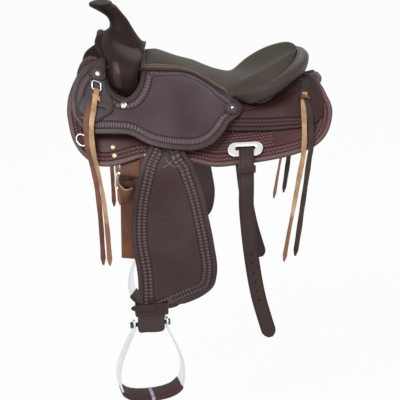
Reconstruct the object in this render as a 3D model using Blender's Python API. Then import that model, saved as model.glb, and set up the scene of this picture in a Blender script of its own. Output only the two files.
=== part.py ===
# A western saddle: wooden tree, leather-covered fork and horn, padded seat with a rolled
# cantle, skirts, jockeys, fenders with metal stirrups, rigging and tie strings.
# Metres. The horse's head is toward -X, the near (left) side is -Y, +Z is up, and the
# origin is where the middle of the saddle rests on the horse's back.
import math

import bmesh
import bpy
import numpy as np
from mathutils import Vector
from mathutils.bvhtree import BVHTree
from mathutils.geometry import delaunay_2d_cdt

for old in list(bpy.data.objects):
    bpy.data.objects.remove(old, do_unlink=True)

MM = 0.001

# The horse-shaped side that every flap lies on.
BARREL_RADIUS = 0.420
RIDGE_HEIGHT = 0.022
RIDGE_SLOPE = 12.0

# Whole saddle.
SADDLE_LENGTH = 0.605
FLAP_DROP = 0.295
SKIRT_THICKNESS = 0.005
FLEECE_THICKNESS = 0.012
LEATHER_THICKNESS = 0.004
LAYER_GAP = 0.0008
JOCKEY_RISE = 0.0285
JOCKEY_FRONT_RISE = 0.023

# Tree.
BAR_THICKNESS = 0.022
GROOVE_DEPTH = 0.017
GULLET_HEIGHT = 0.122
FORK_HEIGHT = 0.157
SWELL_HALF_WIDTH = 0.148
HORN_HEIGHT = 0.2225
CANTLE_RIM_HEIGHT = 0.107
CANTLE_BOARD_THICKNESS = 0.010

# Seat.
SEAT_WIDTH = 0.290
SEAT_PAD_THICKNESS = 0.014
ROLL_THICKNESS = 0.006
ROLL_OVERHANG = 0.040

# Fender and stirrup.
STRAP_THICKNESS = 0.0035
STRAP_WIDTH = 0.074
LEG_LENGTH = 0.640
FENDER_WIDTH = 0.193
STIRRUP_WIDTH = 0.154
STIRRUP_HEIGHT = 0.200
TREAD_DEPTH = 0.056
STIRRUP_METAL = 0.005
STIRRUP_TURN = 14.0
BOLT_RADIUS = 0.005

# Rigging.
PLATE_LENGTH = 0.080
PLATE_HEIGHT = 0.036
PLATE_THICKNESS = 0.0035
SLOT_LENGTH = 0.046
SLOT_HEIGHT = 0.010
BILLET_WIDTH = 0.034
BILLET_THICKNESS = 0.003
BILLET_LENGTH = 0.395
LATIGO_WIDTH = 0.045
LATIGO_LENGTH = 0.165
DEE_WIRE = 0.006

# Small parts.
BREAST_DEE_RADIUS = 0.0128
STRING_DEE_HALF = 0.0102
RING_WIRE = 0.0032
STRING_WIDTH = 0.012
FRONT_STRING_LENGTH = 0.415
REAR_STRING_LENGTH = 0.420

lengthwise = SADDLE_LENGTH / 0.605
dropwise = FLAP_DROP / 0.295
barrelwise = BARREL_RADIUS / 0.420
crosswise = SEAT_WIDTH / 0.290
rimwise = CANTLE_RIM_HEIGHT / 0.107
forkwise = FORK_HEIGHT / 0.157
gulletwise = GULLET_HEIGHT / 0.122
swellwise = SWELL_HALF_WIDTH / 0.148


def surface_colour(name, colour, roughness, metallic=0.0):
    material = bpy.data.materials.new(name)
    material.use_nodes = True
    shader = material.node_tree.nodes["Principled BSDF"]
    shader.inputs["Base Color"].default_value = (*colour, 1.0)
    shader.inputs["Roughness"].default_value = roughness
    shader.inputs["Metallic"].default_value = metallic
    return material


materials = {
    "skirt_leather": surface_colour("skirt_leather", (0.055, 0.026, 0.025), 0.50),
    "jockey_leather": surface_colour("jockey_leather", (0.058, 0.040, 0.037), 0.45),
    "fork_leather": surface_colour("fork_leather", (0.040, 0.026, 0.022), 0.40),
    "seat_leather": surface_colour("seat_leather", (0.085, 0.070, 0.058), 0.62),
    "fender_leather": surface_colour("fender_leather", (0.050, 0.031, 0.030), 0.42),
    "strap_leather": surface_colour("strap_leather", (0.070, 0.042, 0.038), 0.50),
    "latigo_leather": surface_colour("latigo_leather", (0.180, 0.060, 0.032), 0.55),
    "string_leather": surface_colour("string_leather", (0.420, 0.210, 0.110), 0.65),
    "fleece": surface_colour("fleece", (0.600, 0.540, 0.430), 0.95),
    "wood": surface_colour("wood", (0.500, 0.360, 0.210), 0.60),
    "nickel": surface_colour("nickel", (0.860, 0.860, 0.850), 0.18, 1.0),
    "steel": surface_colour("steel", (0.480, 0.480, 0.490), 0.35, 1.0),
    "aluminium": surface_colour("aluminium", (0.800, 0.820, 0.830), 0.30, 1.0),
}


# Shapes are pairs of a vertex array and a list of faces.

def ramp(value, low, high):
    share = np.clip((np.asarray(value, float) - low) / (high - low), 0.0, 1.0)
    return share * share * (3.0 - 2.0 * share)


def table(x, pairs):
    places, values = zip(*pairs)
    return np.interp(x, np.array(places) * MM * lengthwise, np.array(values) * MM)


def node(name, body, material, pivot=(0.0, 0.0, 0.0)):
    mesh = bpy.data.meshes.new(name)
    points, faces = body
    local = np.asarray(points, float) - np.asarray(pivot, float)
    mesh.from_pydata(local.tolist(), [], [list(face) for face in faces])
    tidy = bmesh.new()
    tidy.from_mesh(mesh)
    bmesh.ops.recalc_face_normals(tidy, faces=tidy.faces)
    bmesh.ops.triangulate(tidy, faces=tidy.faces)
    tidy.to_mesh(mesh)
    tidy.free()
    mesh.materials.append(materials[material])
    made = bpy.data.objects.new(name, mesh)
    made.location = pivot
    bpy.context.scene.collection.objects.link(made)
    return made


def mirrored(body):
    points, faces = body
    return np.asarray(points, float) * (1.0, -1.0, 1.0), faces


def pair(name, body, material, pivot=(0.0, 0.0, 0.0)):
    near = node("near_" + name, body, material, pivot)
    off = node("off_" + name, mirrored(body), material, (pivot[0], -pivot[1], pivot[2]))
    return near, off


def smooth_line(points, step, closed=False):
    points = np.asarray(points, float)
    count = len(points)
    spans = range(count if closed else count - 1)
    line = []
    for i in spans:
        if closed:
            before, start, end, after = (points[(i + k) % count] for k in (-1, 0, 1, 2))
        else:
            before, start, end, after = (points[min(max(i + k, 0), count - 1)]
                                         for k in (-1, 0, 1, 2))
        pieces = max(1, math.ceil(np.linalg.norm(end - start) / step))
        for k in range(pieces):
            t = k / pieces
            line.append(0.5 * (2 * start + (end - before) * t
                               + (2 * before - 5 * start + 4 * end - after) * t ** 2
                               + (3 * start - before - 3 * end + after) * t ** 3))
    if not closed:
        line.append(points[-1])
    return np.array(line)


def inside(points, loop):
    x, y = points[:, 0, None], points[:, 1, None]
    ax, ay = loop[:, 0], loop[:, 1]
    bx, by = np.roll(ax, -1), np.roll(ay, -1)
    rise = np.where(by == ay, 1e-12, by - ay)
    crossing = ((ay > y) != (by > y)) & (x < (bx - ax) * (y - ay) / rise + ax)
    return crossing.sum(axis=1) % 2 == 1


def sheet(place, outline, low, high, holes=(), spacing=0.036):
    loops = [np.asarray(loop, float) for loop in (outline, *holes)]
    points, edges = [], []
    for loop in loops:
        first = len(points)
        points += loop.tolist()
        edges += [(first + i, first + (i + 1) % len(loop)) for i in range(len(loop))]
    least, most = loops[0].min(axis=0), loops[0].max(axis=0)
    columns = np.arange(math.ceil(least[0] / spacing), most[0] / spacing) * spacing
    rows = np.arange(math.ceil(least[1] / spacing), most[1] / spacing) * spacing
    grid = np.array([(x, y) for x in columns for y in rows]).reshape(-1, 2)
    if len(grid):
        clear = inside(grid, loops[0])
        for loop in loops[1:]:
            clear &= ~inside(grid, loop)
        border = np.concatenate([0.5 * (loop + np.roll(loop, -1, axis=0)) for loop in loops] + loops)
        away = np.linalg.norm(grid[:, None] - border[None], axis=2).min(axis=1)
        points += grid[clear & (away > 0.42 * spacing)].tolist()
    made = delaunay_2d_cdt([Vector(p) for p in points], edges, [], 0, 1e-7)
    flat = np.array([tuple(p) for p in made[0]])
    triangles = [tuple(face) for face in made[2]]
    middles = np.array([flat[list(face)].mean(axis=0) for face in triangles])
    keep = inside(middles, loops[0])
    for loop in loops[1:]:
        keep &= ~inside(middles, loop)
    triangles = [face for face, kept in zip(triangles, keep) if kept]
    used = sorted({i for face in triangles for i in face})
    renumber = {old_index: new_index for new_index, old_index in enumerate(used)}
    flat = flat[used]
    triangles = [[renumber[i] for i in face] for face in triangles]
    x, s = flat[:, 0], flat[:, 1]
    count = len(flat)
    lower = place(x, s, low(x, s))
    upper = place(x, s, high(x, s))
    seen = {}
    for face in triangles:
        for i in range(3):
            seen[(face[i], face[(i + 1) % 3])] = True
    walls = [(b, a, a + count, b + count) for a, b in seen if (b, a) not in seen]
    faces = [[i + count for i in face] for face in triangles]
    faces += [face[::-1] for face in triangles]
    faces += [list(wall) for wall in walls]
    return np.concatenate([lower, upper]), faces


def loft(rings, closed=False, caps=True):
    rings = np.asarray(rings, float)
    count, around = rings.shape[:2]
    points = rings.reshape(-1, 3)
    faces = []
    for i in range(count if closed else count - 1):
        here, there = i * around, ((i + 1) % count) * around
        for k in range(around):
            following = (k + 1) % around
            faces.append([here + k, here + following, there + following, there + k])
    if caps and not closed:
        first, last = len(points), len(points) + 1
        points = np.concatenate([points, [rings[0].mean(axis=0), rings[-1].mean(axis=0)]])
        end = (count - 1) * around
        for k in range(around):
            following = (k + 1) % around
            faces.append([first, following, k])
            faces.append([last, end + k, end + following])
    return points, faces


def shell(outer, inner):
    outer, inner = np.asarray(outer, float), np.asarray(inner, float)
    count, around = outer.shape[:2]
    loops = np.concatenate([outer, inner[::-1]])
    return loft(loops, closed=True)


def directions(path):
    along = np.gradient(np.asarray(path, float), axis=0)
    return along / np.linalg.norm(along, axis=1)[:, None]


def strap(path, across, width, thickness, tip=0.0):
    path = np.asarray(path, float)
    across = np.broadcast_to(np.asarray(across, float), path.shape)
    width = np.broadcast_to(width, len(path))[:, None]
    up = np.cross(directions(path), across)
    up /= np.linalg.norm(up, axis=1)[:, None]
    half = across * width / 2
    lift = up * thickness / 2
    corners = (path - half - lift, path + half - lift, path + half + lift, path - half + lift)
    points, faces = loft(np.stack(corners, axis=1))
    if tip:
        points[-1] = points[-1] + directions(path)[-1] * tip
    return points, faces


def tube(path, radius, around=8, closed=False):
    path = np.asarray(path, float)
    if closed:
        along = np.roll(path, -1, axis=0) - np.roll(path, 1, axis=0)
        along /= np.linalg.norm(along, axis=1)[:, None]
    else:
        along = directions(path)
    steady = np.array((1.0, 0.0, 0.0))
    if np.abs(along @ steady).max() > 0.95:
        steady = np.array((0.0, 1.0, 0.0))
    if np.abs(along @ steady).max() > 0.95:
        steady = np.array((0.0, 0.6, 0.8))
    side = np.cross(along, steady)
    side /= np.linalg.norm(side, axis=1)[:, None]
    other = np.cross(along, side)
    angle = np.arange(around) * 2 * math.pi / around
    radius = np.broadcast_to(radius, len(path))[:, None, None]
    ring = side[:, None] * np.cos(angle)[None, :, None] + other[:, None] * np.sin(angle)[None, :, None]
    return loft(path[:, None] + radius * ring, closed=closed)


def circle(centre, across, up, radius, pieces=20):
    angle = np.arange(pieces) * 2 * math.pi / pieces
    return (np.asarray(centre) + radius * np.cos(angle)[:, None] * np.asarray(across)
            + radius * np.sin(angle)[:, None] * np.asarray(up))


def dee_loop(top, across, down, half, tall, corner):
    points = []
    for side_sign, low, start in ((1, 0, -90), (1, 1, 0), (-1, 1, 90), (-1, 0, 180)):
        middle = np.array(((half - corner) * side_sign, tall - corner if low else corner))
        for angle in np.radians((start, start + 30, start + 60, start + 90)):
            spot = middle + corner * np.array((math.cos(angle), math.sin(angle)))
            points.append(top + across * spot[0] + down * spot[1])
    return np.array(points)


def turned(profile, centre, axis, pieces=14):
    axis = np.asarray(axis, float) / np.linalg.norm(axis)
    across = np.cross(axis, (1.0, 0.0, 0.0))
    across /= np.linalg.norm(across)
    other = np.cross(axis, across)
    angle = np.arange(pieces) * 2 * math.pi / pieces
    rings = [np.asarray(centre) + axis * height + radius * np.cos(angle)[:, None] * across
             + radius * np.sin(angle)[:, None] * other for radius, height in profile]
    return loft(rings)


# The side surface: an arc that falls away from a ridge, which climbs toward the withers and
# toward the croup. s is the distance down from the ridge, h the height off the surface.

def ridge(x):
    front = np.clip(0.03 * lengthwise - x, 0.0, None) / lengthwise
    rear = np.clip(x - 0.03 * lengthwise, 0.0, None) / lengthwise
    return RIDGE_HEIGHT + barrelwise * (1.0 * front ** 2 + 0.60 * rear ** 2)


def ridge_slope(x):
    front = np.clip(-x, 0.0, None) / lengthwise
    return np.radians(RIDGE_SLOPE + 220.0 * front ** 2)


def side(x, s, h):
    x, s, h = np.broadcast_arrays(np.asarray(x, float), np.asarray(s, float), np.asarray(h, float))
    start = ridge_slope(x)
    turn = start + s / BARREL_RADIUS
    y = BARREL_RADIUS * (np.sin(turn) - np.sin(start)) + np.sin(turn) * h
    z = ridge(x) - BARREL_RADIUS * (np.cos(start) - np.cos(turn)) + np.cos(turn) * h
    return np.stack([x, -y, z], axis=-1)


def unit(vector):
    return vector / np.linalg.norm(vector)


def frame_at(x, s, height):
    step = 0.001

    def spot(dx, ds):
        return side(x + dx, s + ds, float(height(x + dx, s + ds)))

    along = unit(spot(step, 0.0) - spot(-step, 0.0))
    down = unit(spot(0.0, step) - spot(0.0, -step))
    return spot(0.0, 0.0), along, down, unit(np.cross(down, along))


def pattern(points):
    return np.array(points, float) * MM * (lengthwise, dropwise)


def level(height):
    return lambda x, s: np.full(np.shape(x), height)


# Heights of the layers.

def bar_rise(x, s):
    x, s = x / lengthwise, s / dropwise
    height = BAR_THICKNESS * ramp(s, 0.010, 0.050) * (1.0 - ramp(s, 0.130, 0.190))
    height = height * ramp(x, -0.270, -0.200) * (1.0 - ramp(x, 0.190, 0.260))
    groove = ridge(x * lengthwise) - ridge(-0.070 * lengthwise)
    groove = groove + 0.235 * GROOVE_DEPTH * ramp(s, 0.100, 0.150)
    window = ramp(x, -0.138, -0.114) * (1.0 - ramp(x, 0.000, 0.040))
    return np.clip(height - np.clip(groove, 0.0, GROOVE_DEPTH) * window, 0.0, None)


def jockey_rise(x, s):
    x, s = x / lengthwise, s / dropwise
    front = (1.0 - ramp(x, -0.03, 0.05)) * (1.0 - ramp(s, 0.060, 0.160))
    return JOCKEY_RISE * (1.0 - 0.21 * ramp(s, 0.170, 0.250)) + JOCKEY_FRONT_RISE * front


def jockey_top(x, s):
    return jockey_rise(x, s) + LEATHER_THICKNESS


def housing_low(x, s):
    return np.maximum(bar_rise(x, s) + 0.0008, 0.0004) + LAYER_GAP


def housing_top(x, s):
    return housing_low(x, s) + LEATHER_THICKNESS * 0.9


def bar_top(x, s):
    return np.maximum(bar_rise(x, s), 0.0045)


# Bars of the tree.
barOutline = smooth_line(pattern([
    (-226, 60), (-215, 112), (-190, 148), (-150, 150), (-100, 140), (-40, 138), (20, 140),
    (90, 150), (150, 156), (190, 146), (212, 110), (216, 60), (198, 38), (120, 34),
    (0, 33), (-120, 36), (-205, 38)]), 0.030, closed=True)
barBody = sheet(side, barOutline, level(0.0012), bar_top, spacing=0.019)
pair("bar", barBody, "wood")

# Skirts and the fleece under them.
skirtOutline = smooth_line(pattern([
    (-252, 29), (-275, 71), (-287, 102), (-295, 129), (-302, 161), (-304, 194), (-301, 216),
    (-293, 247), (-281, 268), (-263, 284), (-235, 295), (-208, 292), (-183, 283), (-154, 269),
    (-126, 256), (-80, 251), (-19, 254), (34, 263), (86, 260), (129, 258), (193, 255),
    (238, 250), (261, 243), (280, 229), (293, 206), (300, 176), (300, 147), (292, 110),
    (282, 66), (270, 30), (252, 5), (225, 3), (150, 4), (90, 9), (20, 24), (-60, 32),
    (-150, 33), (-225, 29)]), 0.030, closed=True)
skirtBody = sheet(side, skirtOutline, level(-SKIRT_THICKNESS), level(0.0), spacing=0.030)
pair("skirt", skirtBody, "skirt_leather")

fleeceOutline = smooth_line(pattern([
    (-248, 37), (-268, 76), (-281, 108), (-289, 140), (-296, 170), (-297, 196), (-293, 222),
    (-285, 245), (-272, 262), (-255, 273), (-232, 282), (-217, 277), (-210, 240), (-200, 216),
    (-160, 212), (-112, 214), (-104, 238), (-80, 243), (-19, 246), (34, 254), (86, 252),
    (129, 250), (193, 247), (234, 242), (255, 235), (272, 222), (285, 202), (292, 176),
    (292, 148), (285, 114), (275, 70), (262, 34), (248, 12), (225, 9), (150, 10), (90, 15),
    (20, 30), (-60, 38), (-150, 39), (-225, 36)]), 0.034, closed=True)
fleeceTop = -SKIRT_THICKNESS - 2 * LAYER_GAP
fleeceBody = sheet(side, fleeceOutline, level(fleeceTop - FLEECE_THICKNESS), level(fleeceTop))
pair("fleece", fleeceBody, "fleece")

# Rear housings, behind and below the cantle.
housingOutline = smooth_line(pattern([
    (50, 150), (52, 168), (59, 174), (130, 181), (195, 187), (237, 191), (261, 187), (273, 179),
    (280, 162), (281, 110), (275, 60), (265, 26), (252, 7), (236, 4), (231, 30), (216, 58),
    (190, 82), (150, 102), (100, 112), (62, 118)]), 0.028, closed=True)
housingBody = sheet(side, housingOutline, housing_low, housing_top, spacing=0.020)
pair("rear_housing", housingBody, "skirt_leather")

# Seat jockeys, cut round the foot of the fork and tucked under the edge of the seat.
jockeyOutline = smooth_line(pattern([
    (-215, 52), (-230, 61), (-247, 76), (-266, 98), (-283, 123), (-292, 160), (-291, 188),
    (-288, 206), (-279, 216), (-266, 227), (-239, 232), (-205, 225), (-168, 219), (-149, 221),
    (-129, 229), (-107, 236), (-71, 240), (-34, 240), (-3, 236), (26, 223), (44, 206),
    (57, 189), (66, 172), (82, 157), (93, 145), (98, 131), (92, 116), (80, 98), (62, 79),
    (29, 48), (-18, 33), (-42, 27), (-89, 38), (-134, 50), (-136, 68), (-141, 98), (-155, 123),
    (-171, 135), (-185, 135), (-203, 122), (-212, 99), (-213, 78)]), 0.026, closed=True)
jockeyBody = sheet(side, jockeyOutline, jockey_rise, jockey_top, spacing=0.032)
pair("seat_jockey", jockeyBody, "jockey_leather")

# String plates on the front of the jockeys, each with a slot and a loop for its dee.
tabOutline = smooth_line(pattern([
    (-217, 54), (-214, 84), (-213, 118), (-206, 135), (-198, 148), (-195, 163), (-199, 177),
    (-215, 192), (-237, 209), (-258, 204), (-270, 198), (-276, 188), (-273, 174), (-260, 150),
    (-253, 132), (-249, 112), (-245, 92), (-236, 72), (-226, 60)]), 0.020, closed=True)
slotOutline = pattern([(-233, 171.2), (-215, 171.2), (-215, 174.8), (-233, 174.8)])


def tab_low(x, s):
    return jockey_top(x, s) + 1.6 * LAYER_GAP


def tab_top(x, s):
    return tab_low(x, s) + LEATHER_THICKNESS * 0.85


plateLeather = sheet(side, tabOutline, tab_low, tab_top, [slotOutline], spacing=0.024)
pair("string_plate", plateLeather, "jockey_leather")


def trim_frame(x, s, height):
    return frame_at(x * MM * lengthwise, s * MM * dropwise, height)


# Fork: an arch of closed loops from foot to foot. Its foot rings lie on the bars.
loopAngles = np.arange(18) * 2 * math.pi / 18


def squared(angle, power):
    c, s = np.cos(angle), np.sin(angle)
    return np.sign(c) * np.abs(c) ** (2 / power), np.sign(s) * np.abs(s) ** (2 / power)


def fork_rings(inset):
    c, s = squared(loopAngles, 2.5)
    stations = [((142, 54), (73, 75), -206, -143, 0.0), ((147, 84), (71, 90), -208, -141, 0.06),
                ((126, 116), (58, 104), -214, -136, 0.28), ((89, 140), (38, 115), -229, -131, 0.50),
                ((45, 151), (18, 121), -236, -128, 0.58), ((0, 156), (0, 122), -238, -127, 0.58)]
    lowX = (-0.173 + (0.031 - inset) * c) * lengthwise
    lowS = (0.089 + (0.034 - inset) * s) * dropwise
    foot = side(lowX, lowS, bar_rise(lowX, lowS) + 0.0032)
    half = [foot]
    for outer, inner, front, rear, tilt in stations:
        outer = np.array(outer) * MM * (swellwise, forkwise)
        inner = np.array(inner) * MM * (swellwise, gulletwise)
        front, rear = front * MM * lengthwise, rear * MM * lengthwise
        radial = unit(outer - inner)
        middle, reach = (outer + inner) / 2, np.linalg.norm(outer - inner) / 2 - inset
        x = (front + rear) / 2 + ((rear - front) / 2 - inset) * c
        yz = middle + radial * (reach * s)[:, None]
        behind = x - (0.7 * front + 0.3 * rear)
        drop = tilt * np.maximum(behind, 0.0) * ((1.0 + s) / 2) ** 1.5
        half.append(np.stack([x, -yz[:, 0], yz[:, 1] - drop], axis=1))
    half.insert(1, 0.5 * half[0] + 0.5 * half[1])
    other = [ring * (1.0, -1.0, 1.0) for ring in half[-2::-1]]
    return np.array(half + other)


coverThickness = LEATHER_THICKNESS * 0.75
forkCover = shell(fork_rings(0.0), fork_rings(coverThickness))
node("tree_fork", loft(fork_rings(coverThickness + 0.0006)), "wood")
node("fork_cover", forkCover, "fork_leather")


def surface_finder(*bodies):
    points, faces = [], []
    for vertices, polygons in bodies:
        faces += [[len(points) + i for i in polygon] for polygon in polygons]
        points += [tuple(v) for v in vertices]
    return BVHTree.FromPolygons(points, faces)


def height_below(finder, x, y, start=1.0):
    hit = finder.ray_cast(Vector((x, y, start)), Vector((0.0, 0.0, -1.0)))
    return hit[0].z if hit[0] is not None else None


# Horn: leather-wrapped neck that leans forward, and a wide round cap.
forkFinder = surface_finder(forkCover)
hornLoops = [
    ((-212, 163), (-158, 161), 30), ((-211, 174), (-169, 180), 24), ((-216, 186), (-180, 194), 22),
    ((-226, 195), (-188, 204), 24), ((-243, 205), (-195, 212), 29), ((-256, 212.5), (-203, 217), 33.5),
    ((-258, 218.5), (-206, 221.5), 34.5), ((-252, 222.5), (-212, 222.5), 30)]
hornScale = (HORN_HEIGHT - FORK_HEIGHT) / (0.2225 - 0.157)
hornAngles = np.arange(20) * 2 * math.pi / 20


def horn_ring(front, rear, half):
    ends = [np.array((x * MM * lengthwise, 0.0, FORK_HEIGHT + (z * MM - 0.157) * hornScale))
            for x, z in (front, rear)]
    return ((ends[0] + ends[1]) / 2 + (ends[1] - ends[0]) / 2 * np.cos(hornAngles)[:, None]
            + np.sin(hornAngles)[:, None] * np.array((0.0, half * MM * hornScale, 0.0)))


def on_fork(share):
    centre = np.array((-0.182 * lengthwise, 0.0))
    reach = np.array((0.041 * lengthwise, 0.040 * hornScale))
    flat = centre + share * np.stack([np.cos(hornAngles), np.sin(hornAngles)], axis=1) * reach
    return np.array([(x, y, height_below(forkFinder, x, y) + 0.0012) for x, y in flat])


hornRings = [on_fork(0.34), on_fork(0.62), on_fork(0.83), on_fork(1.0)]
hornRings += [horn_ring(*loop) for loop in hornLoops]
node("horn", loft(hornRings), "fork_leather")

# Rolled leather binding round the front of the gullet.
BINDING_RADIUS = 0.0056
bindingLine = []
for y, z in ((-75, 121), (-70, 128), (-58, 137), (-40, 144.5), (-20, 149), (0, 150)):
    y, z = y * MM * swellwise, z * MM * forkwise
    spots = [Vector((-0.4 * lengthwise, y + dy, z + dz))
             for dy in (-0.004, 0.0, 0.004) for dz in (-0.004, 0.0, 0.004)]
    hits = [forkFinder.ray_cast(spot, Vector((1.0, 0.0, 0.0)))[0] for spot in spots]
    bindingLine.append((min(hit.x for hit in hits if hit) - BINDING_RADIUS - 0.0004, y, z))
bindingLine = np.array(bindingLine)
bindingLine = np.concatenate([bindingLine, (bindingLine * (1.0, -1.0, 1.0))[-2::-1]])
node("gullet_binding", tube(smooth_line(bindingLine, 0.022), BINDING_RADIUS, around=10), "fork_leather")

# Seat: its edge follows the jockeys, then climbs round the rim of the cantle.

def rise_scale(x):
    return forkwise + (rimwise - forkwise) * ramp(x / lengthwise, 0.06, 0.22)


seatEdge = []
for x, s in ((-133, 60), (-110, 52), (-80, 45), (-50, 39), (-20, 43), (10, 50), (35, 63), (58, 82)):
    x, s = x * MM * lengthwise, s * MM * dropwise
    seatEdge.append(side(x, s, jockey_top(x, s) + 0.0056))
rim = [(74, -107, 25), (90, -124, 32), (108, -136, 42), (130, -145, 53), (150, -145, 63),
       (170, -135, 74), (187, -118, 84), (202, -96, 93), (214, -70, 100), (222, -40, 104.5)]
for x, y, z in rim:
    x, y = x * MM * lengthwise, y * MM * crosswise
    seatEdge.append(np.array((x, y, z * MM * rise_scale(x))))
seatEdge = np.array(seatEdge)
shares = np.linspace(-1.0, 1.0, 15)


def seat_rows(drop):
    rows = []
    for x, y, z in seatEdge:
        middle = table(x, [(-136, 107), (-105, 112), (-66, 98), (6, 71), (64, 53), (100, 52),
                           (140, 62), (180, 83), (205, 98), (225, 108)]) * rise_scale(x)
        crest = table(x, [(64, 48), (77, 46), (94, 56), (117, 72), (141, 86), (164, 98),
                          (186, 108), (203, 115), (214, 118), (225, 117)]) * rise_scale(x)
        v = np.abs(shares)
        plain = z + (middle - z) * (1.0 - v ** 2.4)
        dish = middle + (crest - middle) * ramp(v, 0.15, 0.80)
        dish = dish - (crest - z) * ramp(v, 0.76, 1.0) ** 1.3
        blend = ramp(x / lengthwise, 0.045, 0.105)
        top = plain * (1.0 - blend) + dish * blend
        rows.append(np.stack([np.full(len(v), x), shares * -y, top - drop(v)], axis=1))
    return np.array(rows)


def pad_depth(v):
    return 0.004 + (SEAT_PAD_THICKNESS - 0.004) * (1.0 - ramp(v, 0.35, 0.95))


seatTop = seat_rows(lambda v: 0.0 * v)
seatBottom = seat_rows(pad_depth)
seatLoops = np.concatenate([seatTop, seatBottom[:, ::-1]], axis=1)
seatBody = loft(seatLoops, caps=False)


def close_ends(body, rings):
    points, faces = body
    around = rings.shape[1]
    half = around // 2
    for first, turn in ((0, 1), ((len(rings) - 1) * around, -1)):
        for k in range(half - 1):
            face = [first + k, first + k + 1, first + around - 2 - k, first + around - 1 - k]
            faces.append(face[::-turn])
    return points, faces


seatBody = close_ends(seatBody, seatLoops)
node("seat", seatBody, "seat_leather")
seatFinder = surface_finder(seatBody)


def bezier(start, control, end, pieces):
    t = np.linspace(0.0, 1.0, pieces)[:, None]
    return (1 - t) ** 2 * start + 2 * t * (1 - t) * control + t ** 2 * end


# Cantle roll: a leather roll sewn to the rim of the seat that hangs over the back.
rollEnd = np.array((0.2262 * lengthwise, 0.0, 0.106 * rimwise))
rollTop = np.concatenate([seatEdge[8:], [rollEnd]])
rollLow = np.array([
    (77, -110, 23.5), (94, -127, 19), (113, -145, 18), (137, -154, 27), (158, -157, 37),
    (180, -151, 47), (199, -137, 57), (216, -115, 64), (232, -86, 68), (245, -46, 69),
    (250, 0, 69)]) * MM * (lengthwise, crosswise, rimwise)
rollOut = np.array([3, 7, 12, 18, 22, 27, 31, 35, 38, 40, 41]) / 40 * ROLL_OVERHANG


def outward_of(line):
    along = directions(np.concatenate([line, [line[-2] * (1.0, -1.0, 1.0)]]))[:-1]
    out = np.cross(along, (0.0, 0.0, 1.0)) * -1.0
    out /= np.linalg.norm(out, axis=1)[:, None]
    return -out if out[-1][0] < 0 else out


rimOut = outward_of(rollTop)
rollRings = []
for top, low, out, reach in zip(rollTop, rollLow, rimOut, rollOut):
    start = top + out * 0.0022
    control = start + out * reach + np.array((0.0, 0.0, 0.15 * reach))
    thick = ROLL_THICKNESS * min(1.0, 0.35 + 2.0 * reach / ROLL_OVERHANG)
    inward, under = out * thick, np.array((0.0, 0.0, thick))
    outer = bezier(start, control, low, 8)
    inner = bezier(start - under, control - inward * 1.1 - under, low - inward, 8)
    rollRings.append(np.concatenate([outer, inner[::-1]]))
rollRings = np.array(rollRings)
rollRings = np.concatenate([rollRings, (rollRings * (1.0, -1.0, 1.0))[-2::-1]])
rollBody = loft(rollRings)
node("cantle_roll", rollBody, "seat_leather")

# Cantle board and the leather on its back, standing on the bars and housings under the rim.
baseFinder = surface_finder(barBody, mirrored(barBody), housingBody, mirrored(housingBody))


def seat_underside(x, y):
    hit = seatFinder.ray_cast(Vector((x, y, 0.0)), Vector((0.0, 0.0, 1.0)))
    return hit[0].z if hit[0] is not None else 1.0


def base_height(x, y, start):
    ground = height_below(baseFinder, x, y, start)
    return float(ridge(x)) + 0.004 if ground is None else ground


def wall(inset, thickness, floor_gap):
    rings = []
    line = rollTop[2:]
    outs = rimOut[2:]
    line = np.concatenate([line, (line * (1.0, -1.0, 1.0))[-2::-1]])
    outs = np.concatenate([outs, (outs * (1.0, -1.0, 1.0))[-2::-1]])
    for place, out in zip(line, outs):
        ring = []
        for distance in (inset, inset + thickness):
            spot = place - out * distance
            around = [(spot[0] + dx, spot[1] + dy)
                      for dx in (-0.006, 0.0, 0.006) for dy in (-0.006, 0.0, 0.006)]
            roof = min(seat_underside(*near) for near in around)
            ground = max(base_height(*near, roof) for near in around)
            ring.append(((spot[0], spot[1], roof - 0.0008), (spot[0], spot[1], ground + floor_gap)))
        (outerTop, outerLow), (innerTop, innerLow) = ring
        rings.append([outerTop, innerTop, innerLow, outerLow])
    return loft(np.array(rings))


backThickness = LEATHER_THICKNESS * 0.75
node("cantle_back", wall(0.014, backThickness, 0.0010), "skirt_leather")
node("cantle_board", wall(0.014 + backThickness + 0.0006, CANTLE_BOARD_THICKNESS, 0.0010), "wood")

# Ground seat between fork and cantle.
groundRows = []
for x, half in ((-118, 42), (-95, 38), (-70, 35), (-45, 31), (-20, 31), (0, 33), (20, 36), (40, 40),
                (60, 46), (80, 53), (100, 60), (120, 68), (140, 72), (158, 68), (172, 60)):
    x, half = x * MM * lengthwise, half * MM * crosswise
    row = []
    for y in np.linspace(-half, half, 11):
        row.append((x, y, min(seat_underside(x + dx, y) for dx in (-0.008, 0.0, 0.008)) - 0.0014))
    groundRows.append(row)
groundTop = np.array(groundRows)
groundLow = groundTop - (0.0, 0.0, 0.005)
groundLoops = np.concatenate([groundTop, groundLow[:, ::-1]], axis=1)
node("ground_seat", close_ends(loft(groundLoops, caps=False), groundLoops), "strap_leather")


# Stirrup leather and fender share one hanging surface: over the bar, down the side, over the
# skirt's edge and then nearly straight down. w is the distance along it, h the height off it.
LEG_CENTRE = -0.072 * lengthwise
NECK_CENTRE = -0.113 * lengthwise


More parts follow.
